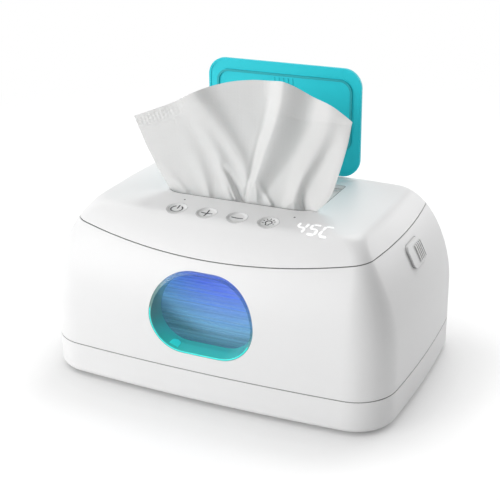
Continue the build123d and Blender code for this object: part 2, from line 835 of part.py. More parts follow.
with BuildPart() as lid_shell:
    add(outer_form)
    add(inner_form, mode=Mode.SUBTRACT)
    add(lid_block, mode=Mode.SUBTRACT)
    # posts for the liner and the control board
    add(posts_in_form(outer_form, Plane.XY.offset(liner_top), lid_posts, lid_post_radius, 40))
    board_plane = control_plane.offset(-board_depth)
    add(posts_in_form(outer_form, board_plane, [(x, 0) for x in board_posts_x], 2.5, 20))
    # block that carries the flip cover's hinge
    add(in_form(outer_form, (-block_half, pocket_front - 1.8, pocket_floor - 2),
                (block_half, pocket_back + 1.8, body_width)))
    # keepers over the side latches
    for side in (-1, 1):
        edge_x = body_width / 2 - wall_inset(seam_height, wall)
        add(in_form(outer_form, (min(side * (edge_x - 3), side * (edge_x + 1)), -6, keeper_low),
                    (max(side * (edge_x - 3), side * (edge_x + 1)), 6, keeper_low + 8)))
    # arms and knuckles of the main hinge
    for centre in knuckle_centres:
        with BuildSketch(Plane.YZ.offset(centre - lid_half)):
            with Locations((hinge_y, hinge_z)):
                Circle(knuckle_radius)
            with Locations((body_depth / 2 - shoulder_radius, straight_wall_top)):
                with Locations(Location((0, 0), (hinge_turn + arm_turn) / 2)):
                    arm_length = shoulder_radius * radians(arm_turn - hinge_turn)
                    with Locations((shoulder_radius + knuckle_clearance + hinge_arm_thickness / 2, 0)):
                        Rectangle(hinge_arm_thickness, arm_length)
                with Locations(Location((0, 0), arm_turn - 1.0)):
                    with Locations((shoulder_radius + hinge_arm_thickness / 2 - 0.8, 0)):
                        Rectangle(hinge_arm_thickness + 2.4, 3.2)
        extrude(amount=lid_knuckle_width)
        with BuildSketch(Plane.YZ.offset(centre - lid_half)):
            with Locations((hinge_y, hinge_z)):
                Circle(hinge_pin_radius + running_clearance)
        extrude(amount=lid_knuckle_width, mode=Mode.SUBTRACT)
    # dispensing opening
    extrude(opening_sketch(liner_top, 0), amount=40, mode=Mode.SUBTRACT)
    # pockets and bore for the flip cover
    with BuildSketch(Plane.XY.offset(pocket_floor)):
        with Locations([(side * cover_knuckle_x, (pocket_front + pocket_back) / 2) for side in (-1, 1)]):
            Rectangle(cover_knuckle_width + 2 * knuckle_gap, pocket_back - pocket_front)
    extrude(amount=20, mode=Mode.SUBTRACT)
    with BuildSketch(Plane.YZ.offset(-block_half)):
        with Locations((cover_axis_y, cover_axis_z)):
            Circle(cover_pin_radius)
    extrude(amount=2 * block_half, mode=Mode.SUBTRACT)
    # button and indicator holes, screw holes in the posts
    with BuildSketch(control_plane.offset(-6)):
        with Locations([(x, 0) for x in button_places]):
            Circle(button_radius + button_gap)
    extrude(amount=12, mode=Mode.SUBTRACT)
    with BuildSketch(Plane.XY.offset(liner_top + 12)):
        with Locations(indicator_places):
            Circle(indicator_radius + 0.05)
    extrude(amount=20, mode=Mode.SUBTRACT)
    with BuildSketch(Plane.XY.offset(liner_top)):
        with Locations(lid_posts):
            Circle(screw_radius)
    extrude(amount=10, mode=Mode.SUBTRACT)
    with BuildSketch(board_plane):
        with Locations([(x, 0) for x in board_posts_x]):
            Circle(1.0)
    extrude(amount=5, mode=Mode.SUBTRACT)
finish("lid_shell", lid_shell.part, white)

funnel_top = top_height(opening_half_depth) - wall - 0.3
funnel_flange_bottom = funnel_top - funnel_flange_thickness
with BuildPart() as dispenser_funnel:
    extrude(opening_sketch(funnel_flange_bottom, funnel_flange), amount=funnel_flange_thickness)
    upper = opening_sketch(funnel_flange_bottom, funnel_wall)
    loft([slot_sketch(slot_top, funnel_wall), upper], ruled=True)
    extrude(slot_sketch(liner_bottom, funnel_wall), amount=slot_top - liner_bottom)
    extrude(opening_sketch(funnel_flange_bottom, 0), amount=funnel_flange_thickness, mode=Mode.SUBTRACT)
    loft([slot_sketch(slot_top, 0), opening_sketch(funnel_flange_bottom, 0)], ruled=True, mode=Mode.SUBTRACT)
    extrude(slot_sketch(liner_bottom, 0), amount=slot_top - liner_bottom, mode=Mode.SUBTRACT)
finish("dispenser_funnel", dispenser_funnel.part, white)

with BuildPart() as lid_liner:
    add(rounded_plate(tank_half_width + liner_side_margin, tank_half_depth + liner_front_margin, tank_corner,
                      liner_bottom, liner_top))
    extrude(slot_sketch(liner_bottom, funnel_wall + fit_clearance), amount=liner_thickness, mode=Mode.SUBTRACT)
    with BuildSketch(Plane.XY.offset(liner_bottom)):
        with Locations(lid_posts):
            Circle(screw_radius + 0.2)
    extrude(amount=liner_thickness, mode=Mode.SUBTRACT)
finish("lid_liner", lid_liner.part, white)

with BuildPart() as lid_seal:
    outer_x, outer_y = tank_half_width + seal_margin, tank_half_depth + seal_margin
    add(rounded_plate(outer_x, outer_y, tank_corner, seal_bottom, liner_bottom))
    add(
        rounded_plate(outer_x - seal_width, outer_y - seal_width, tank_corner - seal_width,
                      seal_bottom, liner_bottom),
        mode=Mode.SUBTRACT,
    )
finish("lid_seal", lid_seal.part, cream)

with BuildPart() as lid_screws:
    with BuildSketch(Plane.XY.offset(liner_bottom)):
        with Locations(lid_posts):
            Circle(screw_radius)
    extrude(amount=liner_thickness + 8)
    with BuildSketch(Plane.XY.offset(liner_bottom)):
        with Locations(lid_posts):
            Circle(screw_head_radius)
    extrude(amount=-screw_head_height)
finish("lid_screws", lid_screws.part, steel)

# ---------------------------------------------------------------- controls under the lid
board_low, board_high = -11.0, 12.5
with BuildPart() as control_board:
    with BuildSketch(board_plane):
        with Locations(((board_left + board_right) / 2, (board_low + board_high) / 2)):
            RectangleRounded(board_right - board_left, board_high - board_low, 2)
        with Locations([(x, 0) for x in board_posts_x]):
            Circle(1.2, mode=Mode.SUBTRACT)
    extrude(amount=-board_thickness)
finish("control_board", control_board.part, green)

with BuildPart() as control_board_screws:
    with BuildSketch(board_plane.offset(-board_thickness)):
        with Locations([(x, 0) for x in board_posts_x]):
            Circle(2.2)
    extrude(amount=-1.4)
    with BuildSketch(board_plane.offset(-board_thickness)):
        with Locations([(x, 0) for x in board_posts_x]):
            Circle(1.0)
    extrude(amount=board_thickness + 4)
finish("control_board_screws", control_board_screws.part, steel)

with BuildPart() as key_switches:
    with BuildSketch(board_plane):
        with Locations([(x, 0) for x in button_places]):
            RectangleRounded(switch_size, switch_size, 0.5)
    extrude(amount=switch_height - 0.8)
    with BuildSketch(board_plane):
        with Locations([(x, 0) for x in button_places]):
            Circle(1.75)
    extrude(amount=switch_height)
finish("key_switches", key_switches.part, dark)

with BuildPart() as display_module:
    with BuildSketch(board_plane):
        with Locations(((display_left + display_right) / 2, 0)):
            RectangleRounded(display_length, 2 * display_half_height, 1)
    extrude(amount=board_depth - wall - 0.8)
finish("display_module", display_module.part, dark)

pipe_low = top_height(indicator_places[0][1]) - board_depth + 0.6
indicator_pipes = posts_in_form(outer_form, Plane.XY.offset(pipe_low), indicator_places, indicator_radius, 20)
finish("indicator_pipes", indicator_pipes, cream)

# ---------------------------------------------------------------- buttons
ear_top = -wall - 0.6
ear_bottom = ear_top - 0.8
stem_bottom = -board_depth + switch_height + button_travel + 0.1
dish_sphere = (button_dish_radius**2 + button_dish_depth**2) / (2 * button_dish_depth)


def push_button(x):
    """One dished key that slides square to the top."""
    with BuildPart(mode=Mode.PRIVATE) as button:
        with BuildSketch(control_plane.offset(ear_bottom)):
            with Locations((x, 0)):
                Circle(button_radius)
        extrude(amount=8)
        add(outer_form, mode=Mode.INTERSECT)
        centre = control_plane.from_local_coords(Vector(x, 0, dish_sphere - button_dish_depth))
        with Locations(centre):
            Sphere(dish_sphere, mode=Mode.SUBTRACT)
        with BuildSketch(control_plane.offset(ear_bottom)):
            with Locations((x, 0)):
                Rectangle(2 * button_ear_half, 5)
        extrude(amount=ear_top - ear_bottom)
        with BuildSketch(control_plane.offset(stem_bottom)):
            with Locations((x, 0)):
                Circle(2)
        extrude(amount=ear_bottom - stem_bottom)
    return button.part


for x, name in zip(button_places, ("power", "plus", "minus", "light")):
    finish(f"{name}_button", push_button(x), white)

# ---------------------------------------------------------------- flip cover, open at rest
cover_middle = (cover_low + cover_high) / 2
cover_recess_y = cover_inner_y + cover_rim_height
grip_top = cover_high - cover_seal_margin - 2.8
with BuildPart() as flip_cover:
    with BuildSketch(Plane.XZ.offset(-cover_inner_y)):
        with Locations((0, cover_middle)):
            RectangleRounded(cover_width, cover_length, cover_corner)
    extrude(amount=-cover_thickness)
    fillet(flip_cover.faces().sort_by(Axis.Y)[-1].edges(), 1.0)
    with BuildSketch(Plane.XZ.offset(-cover_inner_y)):
        with Locations((0, cover_middle)):
            RectangleRounded(cover_width - 2 * cover_rim_width, cover_length - 2 * cover_rim_width,
                             cover_corner - cover_rim_width)
    extrude(amount=-cover_rim_height, mode=Mode.SUBTRACT)
    # finger grip ribs
    with BuildSketch(Plane.XZ.offset(-cover_recess_y)):
        with Locations((0, grip_top - grip_length / 2)):
            with GridLocations(grip_pitch, 1, grip_count, 1):
                SlotOverall(grip_length, grip_width, rotation=90)
    extrude(amount=cover_rim_height)
    # hinge arms
    for side in (-1, 1):
        with BuildSketch(Plane.YZ.offset(side * cover_knuckle_x - cover_knuckle_width / 2)):
            with BuildLine():
                Polyline(
                    (cover_axis_y, cover_axis_z - 2.5),
                    (cover_outer_y, cover_axis_z - 2.5),
                    (cover_outer_y, cover_low + 1.5),
                    (cover_inner_y, cover_low + 1.5),
                    (cover_inner_y, cover_low),
                    (cover_axis_y, cover_low),
                    close=True,
                )
            make_face()
            with Locations((cover_axis_y, cover_axis_z)):
                Circle(cover_knuckle_radius)
        extrude(amount=cover_knuckle_width)
    with BuildSketch(Plane.YZ.offset(-cover_width / 2)):
        with Locations((cover_axis_y, cover_axis_z)):
            Circle(cover_pin_radius + running_clearance)
    extrude(amount=cover_width, mode=Mode.SUBTRACT)
finish("flip_cover", flip_cover.part, teal)

seal_high = cover_high - cover_seal_margin
seal_low = cover_axis_z + cover_axis_y - (opening_half_depth - 3)
with BuildPart() as cover_seal:
    with BuildSketch(Plane.XZ.offset(-cover_recess_y)):
        with Locations((0, (seal_low + seal_high) / 2)):
            RectangleRounded(2 * cover_seal_half_width, seal_high - seal_low, 9)
            RectangleRounded(2 * (cover_seal_half_width - cover_seal_width),
                             seal_high - seal_low - 2 * cover_seal_width, 9 - cover_seal_width,
                             mode=Mode.SUBTRACT)
    extrude(amount=cover_seal_height)
finish("cover_seal", cover_seal.part, teal)

with BuildPart() as cover_hinge_pin:
    with BuildSketch(Plane.YZ.offset(-block_half)):
        with Locations((cover_axis_y, cover_axis_z)):
            Circle(cover_pin_radius)
    extrude(amount=2 * block_half)
finish("cover_hinge_pin", cover_hinge_pin.part, steel)

# ---------------------------------------------------------------- side latches and their springs
rib_height = 0.8
rib_width = 1.5
rib_pitch = 2.7
rib_count = 5
plate_form = body_form(rib_height - latch_proud, base_seam)
proud_form = body_form(-latch_proud, base_seam)
behind_wall_form = body_form(wall + latch_gap, base_seam)
latch_back = cage_front + 10.5
latch_middle = (latch_low + latch_high) / 2
nose_top = keeper_low - 0.3


def side_latch():
    """Ribbed press tab on the right, with a shoulder behind the wall and a nose on top."""
    with BuildPart(mode=Mode.PRIVATE) as latch:
        extrude(latch_face(latch_back, 0), amount=40, dir=(1, 0, 0))
        add(plate_form, mode=Mode.INTERSECT)
        first_rib = latch_half_width - 1.6 - rib_pitch * (rib_count - 1)
        for i in range(rib_count):
            rib_y = first_rib + rib_pitch * i
            add(in_form(proud_form, (latch_back + 4, rib_y - rib_width / 2, latch_low + 2),
                        (body_width, rib_y + rib_width / 2, latch_high - 2)))
        shoulder_half = latch_half_width + 1.4
        add(in_form(behind_wall_form, (latch_back, -shoulder_half, cage_low + 0.4),
                    (body_width, shoulder_half, latch_high - 0.6)))
        add(in_form(behind_wall_form, (latch_back, -5, latch_high - 1), (latch_back + 2, 5, nose_top)))
    return latch.part


def bow_spring():
    """Bowed strip between the right cage and its latch."""
    foot_x, crown_x, half = cage_front + 0.1, latch_back - 0.1, 9.0
    with BuildPart(mode=Mode.PRIVATE) as spring:
        with BuildSketch(Plane.XY.offset(latch_middle - 3)):
            with BuildLine():
                ThreePointArc((foot_x, -half), (crown_x, 0), (foot_x, half))
                Line((foot_x, half), (foot_x, half - 1.6 * spring_thickness))
                ThreePointArc((foot_x, half - 1.6 * spring_thickness), (crown_x - spring_thickness, 0),
                              (foot_x, -half + 1.6 * spring_thickness))
                Line((foot_x, -half + 1.6 * spring_thickness), (foot_x, -half))
            make_face()
        extrude(amount=6)
    return spring.part


right_latch = side_latch()
finish("right_latch", right_latch, white)
finish("left_latch", mirror(right_latch, about=Plane.YZ), white)
right_spring = bow_spring()
finish("right_latch_spring", right_spring, steel)
finish("left_latch_spring", mirror(right_spring, about=Plane.YZ), steel)

# ---------------------------------------------------------------- the wipe drawn through the slot
neck_half_depth = slot_half_depth - 0.3
wipe_levels = (  # height, half width, half thickness, shift in y
    (liner_bottom + 0.2, 34, neck_half_depth, 0),
    (slot_top, 38, neck_half_depth, 0),
    (funnel_top - 0.5, 47, 13.0, -12),
    (top_height(0) + 3, 54, 11.0, -15),
    (150, 68, 9.0, -17),
    (175, 79, 6.5, -17),
    (198, 40, 5.0, -18),
)
with BuildPart() as pulled_wipe:
    for height, half_x, half_y, shift in wipe_levels:
        with BuildSketch(Plane.XY.offset(height)):
            with Locations((0, shift)):
                RectangleRounded(2 * half_x, 2 * half_y, 0.6 * half_y)
    loft(ruled=True)
finish("pulled_wipe", pulled_wipe.part, white)
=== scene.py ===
import json
from math import cos, exp, hypot, pi, radians, sin, sqrt, tan

import bmesh
import bpy
import numpy as np
from mathutils import Matrix, Vector
from mathutils.bvhtree import BVHTree


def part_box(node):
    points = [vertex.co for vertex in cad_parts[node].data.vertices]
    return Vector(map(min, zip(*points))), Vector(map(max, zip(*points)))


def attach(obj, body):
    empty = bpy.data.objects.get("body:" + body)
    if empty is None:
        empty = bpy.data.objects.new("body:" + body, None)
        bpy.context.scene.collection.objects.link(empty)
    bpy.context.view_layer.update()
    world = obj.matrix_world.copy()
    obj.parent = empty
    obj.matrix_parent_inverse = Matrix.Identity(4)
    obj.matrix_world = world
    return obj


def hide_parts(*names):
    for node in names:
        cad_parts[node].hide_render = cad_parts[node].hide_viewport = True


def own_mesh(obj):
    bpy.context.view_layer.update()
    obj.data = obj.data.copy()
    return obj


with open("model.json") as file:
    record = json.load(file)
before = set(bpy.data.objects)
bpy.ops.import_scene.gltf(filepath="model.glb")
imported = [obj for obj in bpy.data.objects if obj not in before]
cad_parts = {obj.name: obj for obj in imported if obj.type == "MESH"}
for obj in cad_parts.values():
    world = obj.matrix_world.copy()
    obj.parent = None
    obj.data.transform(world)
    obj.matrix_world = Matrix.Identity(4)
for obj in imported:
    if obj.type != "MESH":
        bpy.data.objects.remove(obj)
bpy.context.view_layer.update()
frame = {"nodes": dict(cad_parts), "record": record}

scene = bpy.context.scene
scene.view_settings.view_transform = "Standard"


def linear(*channels):
    """Linear colour from 0-255 display values."""
    values = [c / 255 for c in channels]
    return tuple(v / 12.92 if v <= 0.04045 else ((v + 0.055) / 1.055) ** 2.4 for v in values)


# ---------------------------------------------------------------- node helpers
class Shader:
    """Small wrapper for building one material's nodes."""

    def __init__(self, name):
        self.material = bpy.data.materials.new(name)
        self.material.use_nodes = True
        self.tree = self.material.node_tree
        self.body = self.tree.nodes["Principled BSDF"]
        self.out = self.tree.nodes["Material Output"]
        self.place = self.add("ShaderNodeTexCoord").outputs["Object"]

    def add(self, kind, **settings):
        node = self.tree.nodes.new(kind)
        for key, value in settings.items():
            setattr(node, key, value)
        return node

    def join(self, source, target):
        self.tree.links.new(source, target)

    def set(self, **values):
        for key, value in values.items():
            self.body.inputs[key.replace("_", " ")].default_value = value

    def noise(self, scale, detail=2.0, rough=0.5, place=None):
        node = self.add("ShaderNodeTexNoise")
        node.inputs["Scale"].default_value = scale
        node.inputs["Detail"].default_value = detail
        node.inputs["Roughness"].default_value = rough
        self.join(place or self.place, node.inputs["Vector"])
        return node.outputs["Fac"]

    def span(self, value, low, high, start=0.0, end=1.0):
        node = self.add("ShaderNodeMapRange")
        node.inputs["From Min"].default_value = start
        node.inputs["From Max"].default_value = end
        node.inputs["To Min"].default_value = low
        node.inputs["To Max"].default_value = high
        self.join(value, node.inputs["Value"])
        return node.outputs["Result"]

    def mix(self, value, first, second):
        node = self.add("ShaderNodeMix", data_type="RGBA")
        node.inputs["A"].default_value = (*first, 1.0)
        node.inputs["B"].default_value = (*second, 1.0)
        self.join(value, node.inputs["Factor"])
        return node.outputs["Result"]

    def math(self, operation, first, second=None):
        node = self.add("ShaderNodeMath", operation=operation)
        for socket, value in zip(node.inputs, (first, second)):
            if value is None:
                continue
            if isinstance(value, (int, float)):
                socket.default_value = value
            else:
                self.join(value, socket)
        return node.outputs["Value"]

    def axes(self):
        node = self.add("ShaderNodeSeparateXYZ")
        self.join(self.place, node.inputs["Vector"])
        return node.outputs["X"], node.outputs["Y"], node.outputs["Z"]

    def bump(self, height, strength, distance=0.0005, base=None):
        node = self.add("ShaderNodeBump")
        node.inputs["Strength"].default_value = strength
        node.inputs["Distance"].default_value = distance
        self.join(height, node.inputs["Height"])
        if base is not None:
            self.join(base, node.inputs["Normal"])
        self.join(node.outputs["Normal"], self.body.inputs["Normal"])
        return node.outputs["Normal"]


def moulded(name, colour, rough=0.38, vary=0.03, grain=1400.0, relief=0.05, painted_hollow_shade=0.0, rims=0.0, **sockets):
    """Moulded plastic: a fine spark texture, faint cloudiness and uneven gloss.

    Narrow gaps and grooves get painted shade: ambient occlusion darkens the base colour there by the given share. rims
    turns the surface in a dish round each key."""
    shader = Shader(name)
    darker = tuple(c * (1 - vary) for c in colour)
    shade = shader.mix(shader.noise(9.0, 3.0), darker, colour)
    # painted shade: where ambient occlusion finds near surfaces, the base colour is darkened
    if painted_hollow_shade:
        hollow = shader.add("ShaderNodeAmbientOcclusion", samples=8)
        hollow.inputs["Distance"].default_value = 0.003
        shaded_in_hollows = shader.add("ShaderNodeMix", data_type="RGBA")
        shaded_in_hollows.inputs["A"].default_value = (*(c * (1 - painted_hollow_shade) for c in colour), 1.0)
        shader.join(shade, shaded_in_hollows.inputs["B"])
        shader.join(hollow.outputs["AO"], shaded_in_hollows.inputs["Factor"])
        shade = shaded_in_hollows.outputs["Result"]
    shader.join(shade, shader.body.inputs["Base Color"])
    shader.join(shader.span(shader.noise(35.0, 3.0), rough - 0.05, rough + 0.05), shader.body.inputs["Roughness"])
    normal = shader.bump(shader.noise(grain, 2.0), relief, 0.0001)
    if rims:
        x, y, z = shader.axes()
        turn = shader.math("FRACT", shader.math("ADD", shader.math("DIVIDE", x, 0.02183), 1.99336))
        dx = shader.math("MULTIPLY", shader.math("SUBTRACT", turn, 0.5), 0.02183)
        dy = shader.math("ADD", y, 0.0496)
        away = shader.math(
            "SQRT", shader.math("ADD", shader.math("MULTIPLY", dx, dx), shader.math("MULTIPLY", dy, dy))
        )
        slope = shader.add("ShaderNodeMapRange", interpolation_type="SMOOTHSTEP")
        slope.inputs["From Min"].default_value = 0.0045
        slope.inputs["From Max"].default_value = 0.0072
        shader.join(away, slope.inputs["Value"])
        shader.bump(slope.outputs["Result"], 1.0, rims, normal)
    shader.set(**sockets)
    return shader.material


# both white plastics get painted shade in their gaps and grooves
white_plastic = moulded("white_plastic", linear(244, 244, 244), rough=0.42, vary=0.015, painted_hollow_shade=0.75)
key_plastic = moulded("key_plastic", linear(240, 240, 240), rough=0.42, vary=0.015, painted_hollow_shade=0.75, rims=0.0011)
teal_plastic = moulded("teal_plastic", linear(4, 214, 228), rough=0.45, vary=0.04, relief=0.03)
teal_silicone = moulded("teal_silicone", linear(24, 176, 186), rough=0.55)
soft_seal = moulded("soft_seal", linear(228, 228, 224), rough=0.6)
foot_rubber = moulded("foot_rubber", linear(70, 70, 72), rough=0.8, vary=0.15, grain=500.0, relief=0.3)
dark_plastic = moulded("dark_plastic", linear(40, 40, 42), rough=0.5, vary=0.2)
fuse_body = moulded("fuse_body", linear(228, 225, 216), rough=0.35)
light_plastic = moulded("light_plastic", linear(243, 240, 228), rough=0.3)
wire_jacket = moulded("wire_jacket", linear(196, 62, 48), rough=0.45)


def metal(name, colour, rough, streak):
    """Metal with fine streaks along X."""
    shader = Shader(name)
    stretch = shader.add("ShaderNodeMapping")
    stretch.inputs["Scale"].default_value = (streak, 1.0, 1.0)
    shader.join(shader.place, stretch.inputs["Vector"])
    lines = shader.noise(900.0, 4.0, 0.6, stretch.outputs["Vector"])
    shader.join(shader.mix(lines, tuple(c * 0.85 for c in colour), colour), shader.body.inputs["Base Color"])
    shader.join(shader.span(lines, rough - 0.08, rough + 0.08), shader.body.inputs["Roughness"])
    shader.bump(lines, 0.1, 0.0001)
    shader.set(Metallic=1.0)
    return shader.material


steel = metal("steel", (0.60, 0.60, 0.62), 0.3, 1.0)
heater_aluminium = metal("heater_aluminium", (0.72, 0.73, 0.74), 0.35, 0.05)

# ---------------------------------------------------------------- more looks
def board(name):
    """Green circuit board: solder mask and copper tracks under it."""
    shader = Shader(name)
    x, y, z = shader.axes()
    tracks = shader.add("ShaderNodeTexWave", wave_type="BANDS", bands_direction="DIAGONAL")
    tracks.inputs["Scale"].default_value = 90.0
    tracks.inputs["Distortion"].default_value = 3.0
    shader.join(shader.place, tracks.inputs["Vector"])
    lines = shader.math("GREATER_THAN", tracks.outputs["Fac"], 0.72)
    dark_green, light_green = linear(18, 84, 48), linear(46, 128, 74)
    shader.join(shader.mix(lines, dark_green, light_green), shader.body.inputs["Base Color"])
    shader.bump(lines, 0.4, 0.0001)
    shader.set(Roughness=0.3)
    return shader.material


def film(name):
    """Amber heating film with a printed meander."""
    shader = Shader(name)
    x, y, z = shader.axes()
    wave = shader.math("SINE", shader.math("MULTIPLY", x, 900.0))
    tracks = shader.math("GREATER_THAN", wave, 0.1)
    shader.join(shader.mix(tracks, linear(206, 122, 40), linear(120, 74, 50)), shader.body.inputs["Base Color"])
    shader.bump(tracks, 0.3, 0.0001)
    shader.set(Roughness=0.4)
    return shader.material


def see_through(name, tint, cover, pass_colour, edge=None):
    """Clear tinted plastic: part of the light passes straight through, the rest meets tinted gloss.

    edge gives the depth in y in front of which the walls are seen edge on, their cover and the colour that passes them.
    There the walls also get a painted glow at the foot, emission standing in for the light that a lamp behind leads
    into them, and painted shade higher up, where their tone turns greyer."""
    shader = Shader(name)
    clear = shader.add("ShaderNodeBsdfTransparent")
    clear.inputs["Color"].default_value = (*pass_colour, 1.0)
    cloudy = shader.noise(60.0, 3.0)
    tone = shader.mix(cloudy, tuple(c * 0.9 for c in tint), tint)
    shader.join(shader.span(cloudy, 0.08, 0.14), shader.body.inputs["Roughness"])
    shader.bump(shader.noise(700.0), 0.02, 0.0001)
    blend = shader.add("ShaderNodeMixShader")
    blend.inputs["Fac"].default_value = cover
    if edge is not None:
        depth, wall_cover, wall_colour = edge
        x, y, z = shader.axes()
        wall = shader.span(y, 1.0, 0.0, depth - 0.0003, depth + 0.0003)
        low_left = shader.span(z, 1.0, 0.35, 0.078, 0.086)
        left = shader.math("MULTIPLY", shader.span(x, 1.0, 0.12, -0.02, -0.005), low_left)
        seen = shader.math("MAXIMUM", left, shader.span(z, 1.0, 0.12, 0.05, 0.062))
        # painted shade: above the foot the walls turn to a greyer tone, against the lit teal foot
        painted_upper_shade = shader.add("ShaderNodeMix", data_type="RGBA")
        painted_upper_shade.inputs["B"].default_value = (*linear(146, 168, 164), 1.0)
        shader.join(tone, painted_upper_shade.inputs["A"])
        shader.join(shader.span(z, 0.0, 0.85, 0.042, 0.066), painted_upper_shade.inputs["Factor"])
        tone = painted_upper_shade.outputs["Result"]
        wall = shader.math("MULTIPLY", wall, seen)
        shader.join(shader.span(wall, cover, wall_cover), blend.inputs["Fac"])
        shader.join(shader.mix(wall, pass_colour, wall_colour), clear.inputs["Color"])
        # painted light: the edge-on walls glow teal by emission, strongest at the foot
        shader.set(Emission_Color=(*linear(30, 214, 208), 1.0))
        foot = shader.span(z, 0.42, 0.04, 0.036, 0.058)
        shader.join(shader.math("MULTIPLY", wall, foot), shader.body.inputs["Emission Strength"])
    shader.join(tone, shader.body.inputs["Base Color"])
    shader.join(clear.outputs["BSDF"], blend.inputs[1])
    shader.join(shader.body.outputs["BSDF"], blend.inputs[2])
    shader.join(blend.outputs["Shader"], shader.out.inputs["Surface"])
    return shader.material


def cloth(name, colour, pitch, glow=False):
    """Soft non-woven cloth: fibres, faint embossed dots and a thin sheet's translucency; with glow, painted night light
    and painted shade on the front of the stack take the translucency's place.
    """
    shader = Shader(name)
    fibres = shader.noise(2600.0, 4.0, 0.7)
    cloud = shader.noise(60.0, 3.0)
    dots = shader.add("ShaderNodeTexVoronoi", feature="F1", distance="EUCLIDEAN")
    dots.inputs["Scale"].default_value = 1.0 / pitch
    dots.inputs["Randomness"].default_value = 0.1
    shader.join(shader.place, dots.inputs["Vector"])
    pits = shader.span(dots.outputs["Distance"], 0.0, 1.0, 0.15, 0.4)
    shader.join(shader.mix(cloud, tuple(c * 0.95 for c in colour), colour), shader.body.inputs["Base Color"])
    relief = shader.math("ADD", shader.math("MULTIPLY", fibres, 0.35), shader.math("MULTIPLY", pits, 0.5))
    normal = shader.bump(relief, 0.25, 0.0002)
    shader.set(Roughness=0.75, Sheen_Weight=0.25, Sheen_Roughness=0.4)
    if glow:
        # painted light: the night light falling on the front of the stack is painted in as emission, strongest at the
        # top middle and varying in horizontal streaks
        x, y, z = shader.axes()
        dx = shader.math("SUBTRACT", x, 0.004)
        dz = shader.math("SUBTRACT", z, 0.089)
        across = shader.math("MULTIPLY", shader.math("MULTIPLY", dx, dx), 0.6)
        away = shader.math("SQRT", shader.math("ADD", across, shader.math("MULTIPLY", dz, dz)))
        ramp = shader.add("ShaderNodeValToRGB")
        stops = (
            (0.0, (48, 70, 255)), (0.36, (56, 86, 248)), (0.64, (98, 150, 232)), (0.84, (116, 172, 212)),
            (1.0, (78, 120, 134)),
        )
        while len(ramp.color_ramp.elements) < len(stops):
            ramp.color_ramp.elements.new(0.5)
        for element, (place, colour_at) in zip(ramp.color_ramp.elements, stops):
            element.position = place
            element.color = (*linear(*colour_at), 1.0)
        shader.join(shader.span(away, 0.0, 1.0, 0.0, 0.056), ramp.inputs["Fac"])
        shader.join(ramp.outputs["Color"], shader.body.inputs["Emission Color"])
        front = shader.span(y, 1.0, 0.0, -0.0535, -0.0505)
        # painted shade: the base colour of the stack's front is darkened and tinted blue, as it lies in the dark
        painted_front_shade = shader.add("ShaderNodeMix", data_type="RGBA")
        painted_front_shade.inputs["B"].default_value = (*linear(120, 128, 160), 1.0)
        shader.join(shader.mix(cloud, tuple(c * 0.95 for c in colour), colour), painted_front_shade.inputs["A"])
        shader.join(front, painted_front_shade.inputs["Factor"])
        shader.join(painted_front_shade.outputs["Result"], shader.body.inputs["Base Color"])
        flat = shader.add("ShaderNodeMapping")
        flat.inputs["Scale"].default_value = (1.5, 1.5, 900.0)
        shader.join(shader.place, flat.inputs["Vector"])
        stripes = shader.span(shader.noise(1.0, 3.0, 0.6, flat.outputs["Vector"]), 0.3, 1.5, 0.25, 0.75)
        glow_level = shader.math("MULTIPLY", shader.math("MULTIPLY", front, stripes), 1.12)
        shader.join(glow_level, shader.body.inputs["Emission Strength"])
    else:
        thin = shader.add("ShaderNodeBsdfTranslucent")
        thin.inputs["Color"].default_value = (*colour, 1.0)
        shader.join(normal, thin.inputs["Normal"])
        blend = shader.add("ShaderNodeMixShader")
        blend.inputs["Fac"].default_value = 0.1
        shader.join(shader.body.outputs["BSDF"], blend.inputs[1])
        shader.join(thin.outputs["BSDF"], blend.inputs[2])
        shader.join(blend.outputs["Shader"], shader.out.inputs["Surface"])
    return shader.material


circuit_board = board("circuit_board")
heater_film = film("heater_film")
# the cup's walls get the painted glow and painted shade of the edge setting
clear_teal = see_through(
    "clear_teal", linear(96, 190, 184), 0.05, (0.93, 0.96, 0.98), (-0.0737, 0.68, (0.62, 0.86, 0.84))
)
tank_plastic = see_through("tank_plastic", linear(190, 226, 230), 0.1, (0.93, 0.96, 0.97))
wipe_cloth = cloth("wipe_cloth", linear(232, 231, 230), 0.0022)
# the stack gets painted night light and painted shade on its front
stack_cloth = cloth("stack_cloth", linear(236, 238, 240), 0.0022, glow=True)
smoked = moulded("smoked", linear(96, 98, 100), rough=0.25)
print_ink = moulded("print_ink", linear(58, 59, 61), rough=0.5, grain=3000.0, relief=0.1)
# painted light: the bead and the clip glow cyan by emission, standing in for light led into the clear rim
glowing_cyan_bead = moulded(
    "glowing_cyan_bead", linear(60, 220, 214), rough=0.15, relief=0.02,
    Emission_Color=(*linear(50, 226, 220), 1.0), Emission_Strength=0.35,
)

materials = {
    "white_plastic": white_plastic,
    "tank_plastic": tank_plastic,
    "teal_plastic": teal_plastic,
    "teal_silicone": teal_silicone,
    "clear_teal": clear_teal,
    "soft_seal": soft_seal,
    "foot_rubber": foot_rubber,
    "steel": steel,
    "heater_aluminium": heater_aluminium,
    "heater_film": heater_film,
    "dark_plastic": dark_plastic,
    "fuse_body": fuse_body,
    "circuit_board": circuit_board,
    "light_plastic": light_plastic,
    "wire_jacket": wire_jacket,
    "wipe_cloth": wipe_cloth,
}
dressed = {"indicator_pipes": smoked}
dressed.update({f"{key}_button": key_plastic for key in ("power", "plus", "minus", "light")})
for part in frame["record"]["subparts"]:
    mesh = frame["nodes"][part["node"]].data
    mesh.materials.clear()
    mesh.materials.append(dressed.get(part["node"], materials[part["material_slot"]]))


